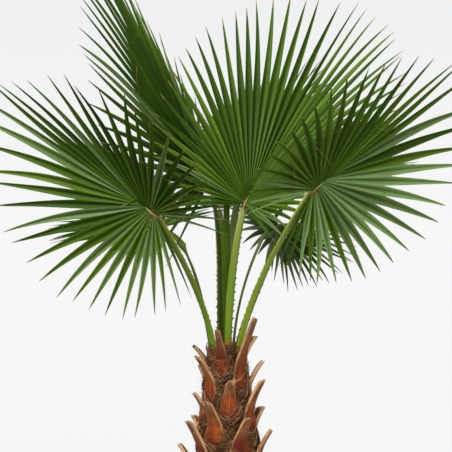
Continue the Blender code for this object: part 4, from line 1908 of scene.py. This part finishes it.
@dataclass
class Studio:
    """A pale floor, soft light from above and the camera.

    sun and fill each give a lamp's energy, its spread, and its turns about X and Y, in degrees.
    """

    paper_low: Colour = (0.925, 0.93, 0.93)
    paper_high: Colour = (0.86, 0.875, 0.87)
    floor_seen: float = 0.72
    floor_glow: float = 0.19
    floor_bounce: float = 0.28
    sky: float = 0.36
    haze_height: float = 0.16
    sun: tuple[float, float, float, float] = (2.5, 28.0, 30.0, -35.3)
    fill: tuple[float, float, float, float] = (1.6, 60.0, 60.5, 66.0)
    camera_at: tuple[float, float, float] = (-0.0064, -4.5, 1.319)
    view_width: float = 1.4464
    sensor: float = 36.0

    def build(self, effects: Effects) -> None:
        """Makes the floor, the lights, the sky and the camera.

        Args:
            effects: The shared shader groups.
        """
        bpy.context.scene.view_settings.view_transform = "Standard"
        self.floor(effects)
        self.lamp("key", *self.sun)
        self.lamp("fill", *self.fill)
        self.dome()
        lens = bpy.data.cameras.new("camera")
        lens.sensor_width = self.sensor
        lens.lens = self.sensor * abs(self.camera_at[1]) / self.view_width
        camera = self.stand("camera", lens)
        camera.location = self.camera_at
        camera.rotation_euler = (math.pi / 2.0, 0.0, 0.0)
        bpy.context.scene.camera = camera

    def stand(self, name: str, data: bpy.types.ID) -> bpy.types.Object:
        """Puts a mesh, a lamp or a lens in the scene.

        Args:
            name: The object's name.
            data: What it shows.

        Returns:
            The object.
        """
        thing = bpy.data.objects.new(name, data)
        bpy.context.scene.collection.objects.link(thing)
        return thing

    def floor(self, effects: Effects) -> None:
        """Makes a wide floor that looks paler to the camera than the light it gives back.

        Args:
            effects: The shared shader groups.
        """
        bm = bmesh.new()
        bmesh.ops.create_circle(bm, cap_ends=True, segments=96, radius=150.0)
        mesh = bpy.data.meshes.new("floor")
        bm.to_mesh(mesh)
        bm.free()
        paper = Skin("paper", effects)
        seen = paper.add("ShaderNodeLightPath").outputs["Is Camera Ray"]
        shades = [(level, level, level) for level in (self.floor_bounce, self.floor_seen)]
        wanted = {
            "Base Color": paper.blend(seen, *shades),
            "Emission Color": self.paper_low,
            "Emission Strength": paper.times(seen, self.floor_glow),
            "Roughness": 1.0,
            "Specular IOR Level": 0.0,
        }
        paper.put_all(paper.shader, list(wanted), list(wanted.values()))
        mesh.materials.append(paper.material)
        floor = self.stand("floor", mesh)
        floor.location.z = -0.0005

    def lamp(self, name: str, energy: float, spread: float, lean: float, swing: float) -> None:
        """Makes one soft sun.

        Args:
            name: Its name.
            energy: Its strength.
            spread: How wide it looks, in degrees.
            lean: Its turn about X, in degrees.
            swing: Its turn about Y, in degrees.
        """
        sun = bpy.data.lights.new(name, "SUN")
        sun.energy = energy
        sun.angle = math.radians(spread)
        self.stand(name, sun).rotation_euler = (math.radians(lean), math.radians(swing), 0.0)

    def dome(self) -> None:
        """Makes a sky that lights the plant evenly, and that the camera sees as paper."""
        world = bpy.data.worlds.new("sky")
        world.use_nodes = True
        bpy.context.scene.world = world
        tree = Tree(world.node_tree)
        seen = tree.add("ShaderNodeLightPath").outputs["Is Camera Ray"]
        sky = (self.sky, self.sky, self.sky)
        upward = tree.add("ShaderNodeTexCoord").outputs["Generated"]
        height = tree.add("ShaderNodeSeparateXYZ", Vector=upward).outputs["Z"]
        paper = tree.blend(tree.spread(height, 0.0, self.haze_height), self.paper_low, self.paper_high)
        back = world.node_tree.nodes["Background"]
        tree.put_all(back, ("Color", "Strength"), (tree.blend(seen, sky, paper), 1.0))


# ---- assembly


def main() -> None:
    """Builds every piece in order and reports each."""
    effects = Effects()
    Studio().build(effects)
    greens = {tone: finish.make(effects) for tone, finish in LEAF_FINISHES.items()}
    skins = {finish.name: finish.make(effects) for finish in OTHER_FINISHES}
    tan, brown, grey = (skins[f"fibre_{shade}"] for shade in ("tan", "brown", "grey"))

    stalks = {f.name: curve_segments(stalk_curve(f)) for f in FRONDS}
    stalks["spear"] = curve_segments(spear_curve())
    placed: list[Array] = []
    thorns = Builder("thorns", [skins["thorn"]])
    hubs = Builder("hubs", [skins["hub_skin"]])
    loose = Builder("leaf_threads", [tan, brown])
    rng = np.random.default_rng(SEED)
    for frond in FRONDS:
        layout = fan_layout(frond)
        others = [segments for name, segments in stalks.items() if name != frond.name]
        ribs = clear_lengths(frond, layout, others + placed)
        fan = FanMaker(frond, ribs, layout)
        report(fan.build(greens))
        fan.threads(loose, rng)
        maker = StalkMaker(frond)
        report(maker.build(skins[STALK_SKINS.get(frond.name, "stalk_deep")]))
        maker.thorns(thorns, rng)
        hub = Hub(frond)
        hub.lay(hubs)
        hub.fuzz(loose, rng)
        steps = np.linspace(0.0, 1.0, 7)
        for i in range(frond.leaflets):
            k = 2 * i + 1
            placed.append(segments_of(layout.bases[k] + layout.directions[k] * (ribs[i] * steps)[:, None]))
    report(thorns.build([], "stalk", crease=50.0))
    report(hubs.build([], "stalk", crease=50.0))
    report(loose.build([], "leaf"))
    report(YoungLeaf().build(greens[Tone.MIDDLE]))
    trunk = Trunk()
    report(trunk.core(skins["bark_core"]))
    report(trunk.boots(skins["husk_skin"]))
    for piece in trunk.matting([tan, brown, brown, grey]):
        report(piece)
    report(trunk.frizz([tan, brown, grey]))
    pot = Pot()
    report(pot.shell(skins["clay_skin"]))
    report(pot.filling(skins["earth_skin"]))
    report(pot.mulch([skins["chip_skin"], skins["bark_core"]]))


if __name__ == "__main__":
    logging.basicConfig(level=logging.INFO, format="%(message)s")
    main()
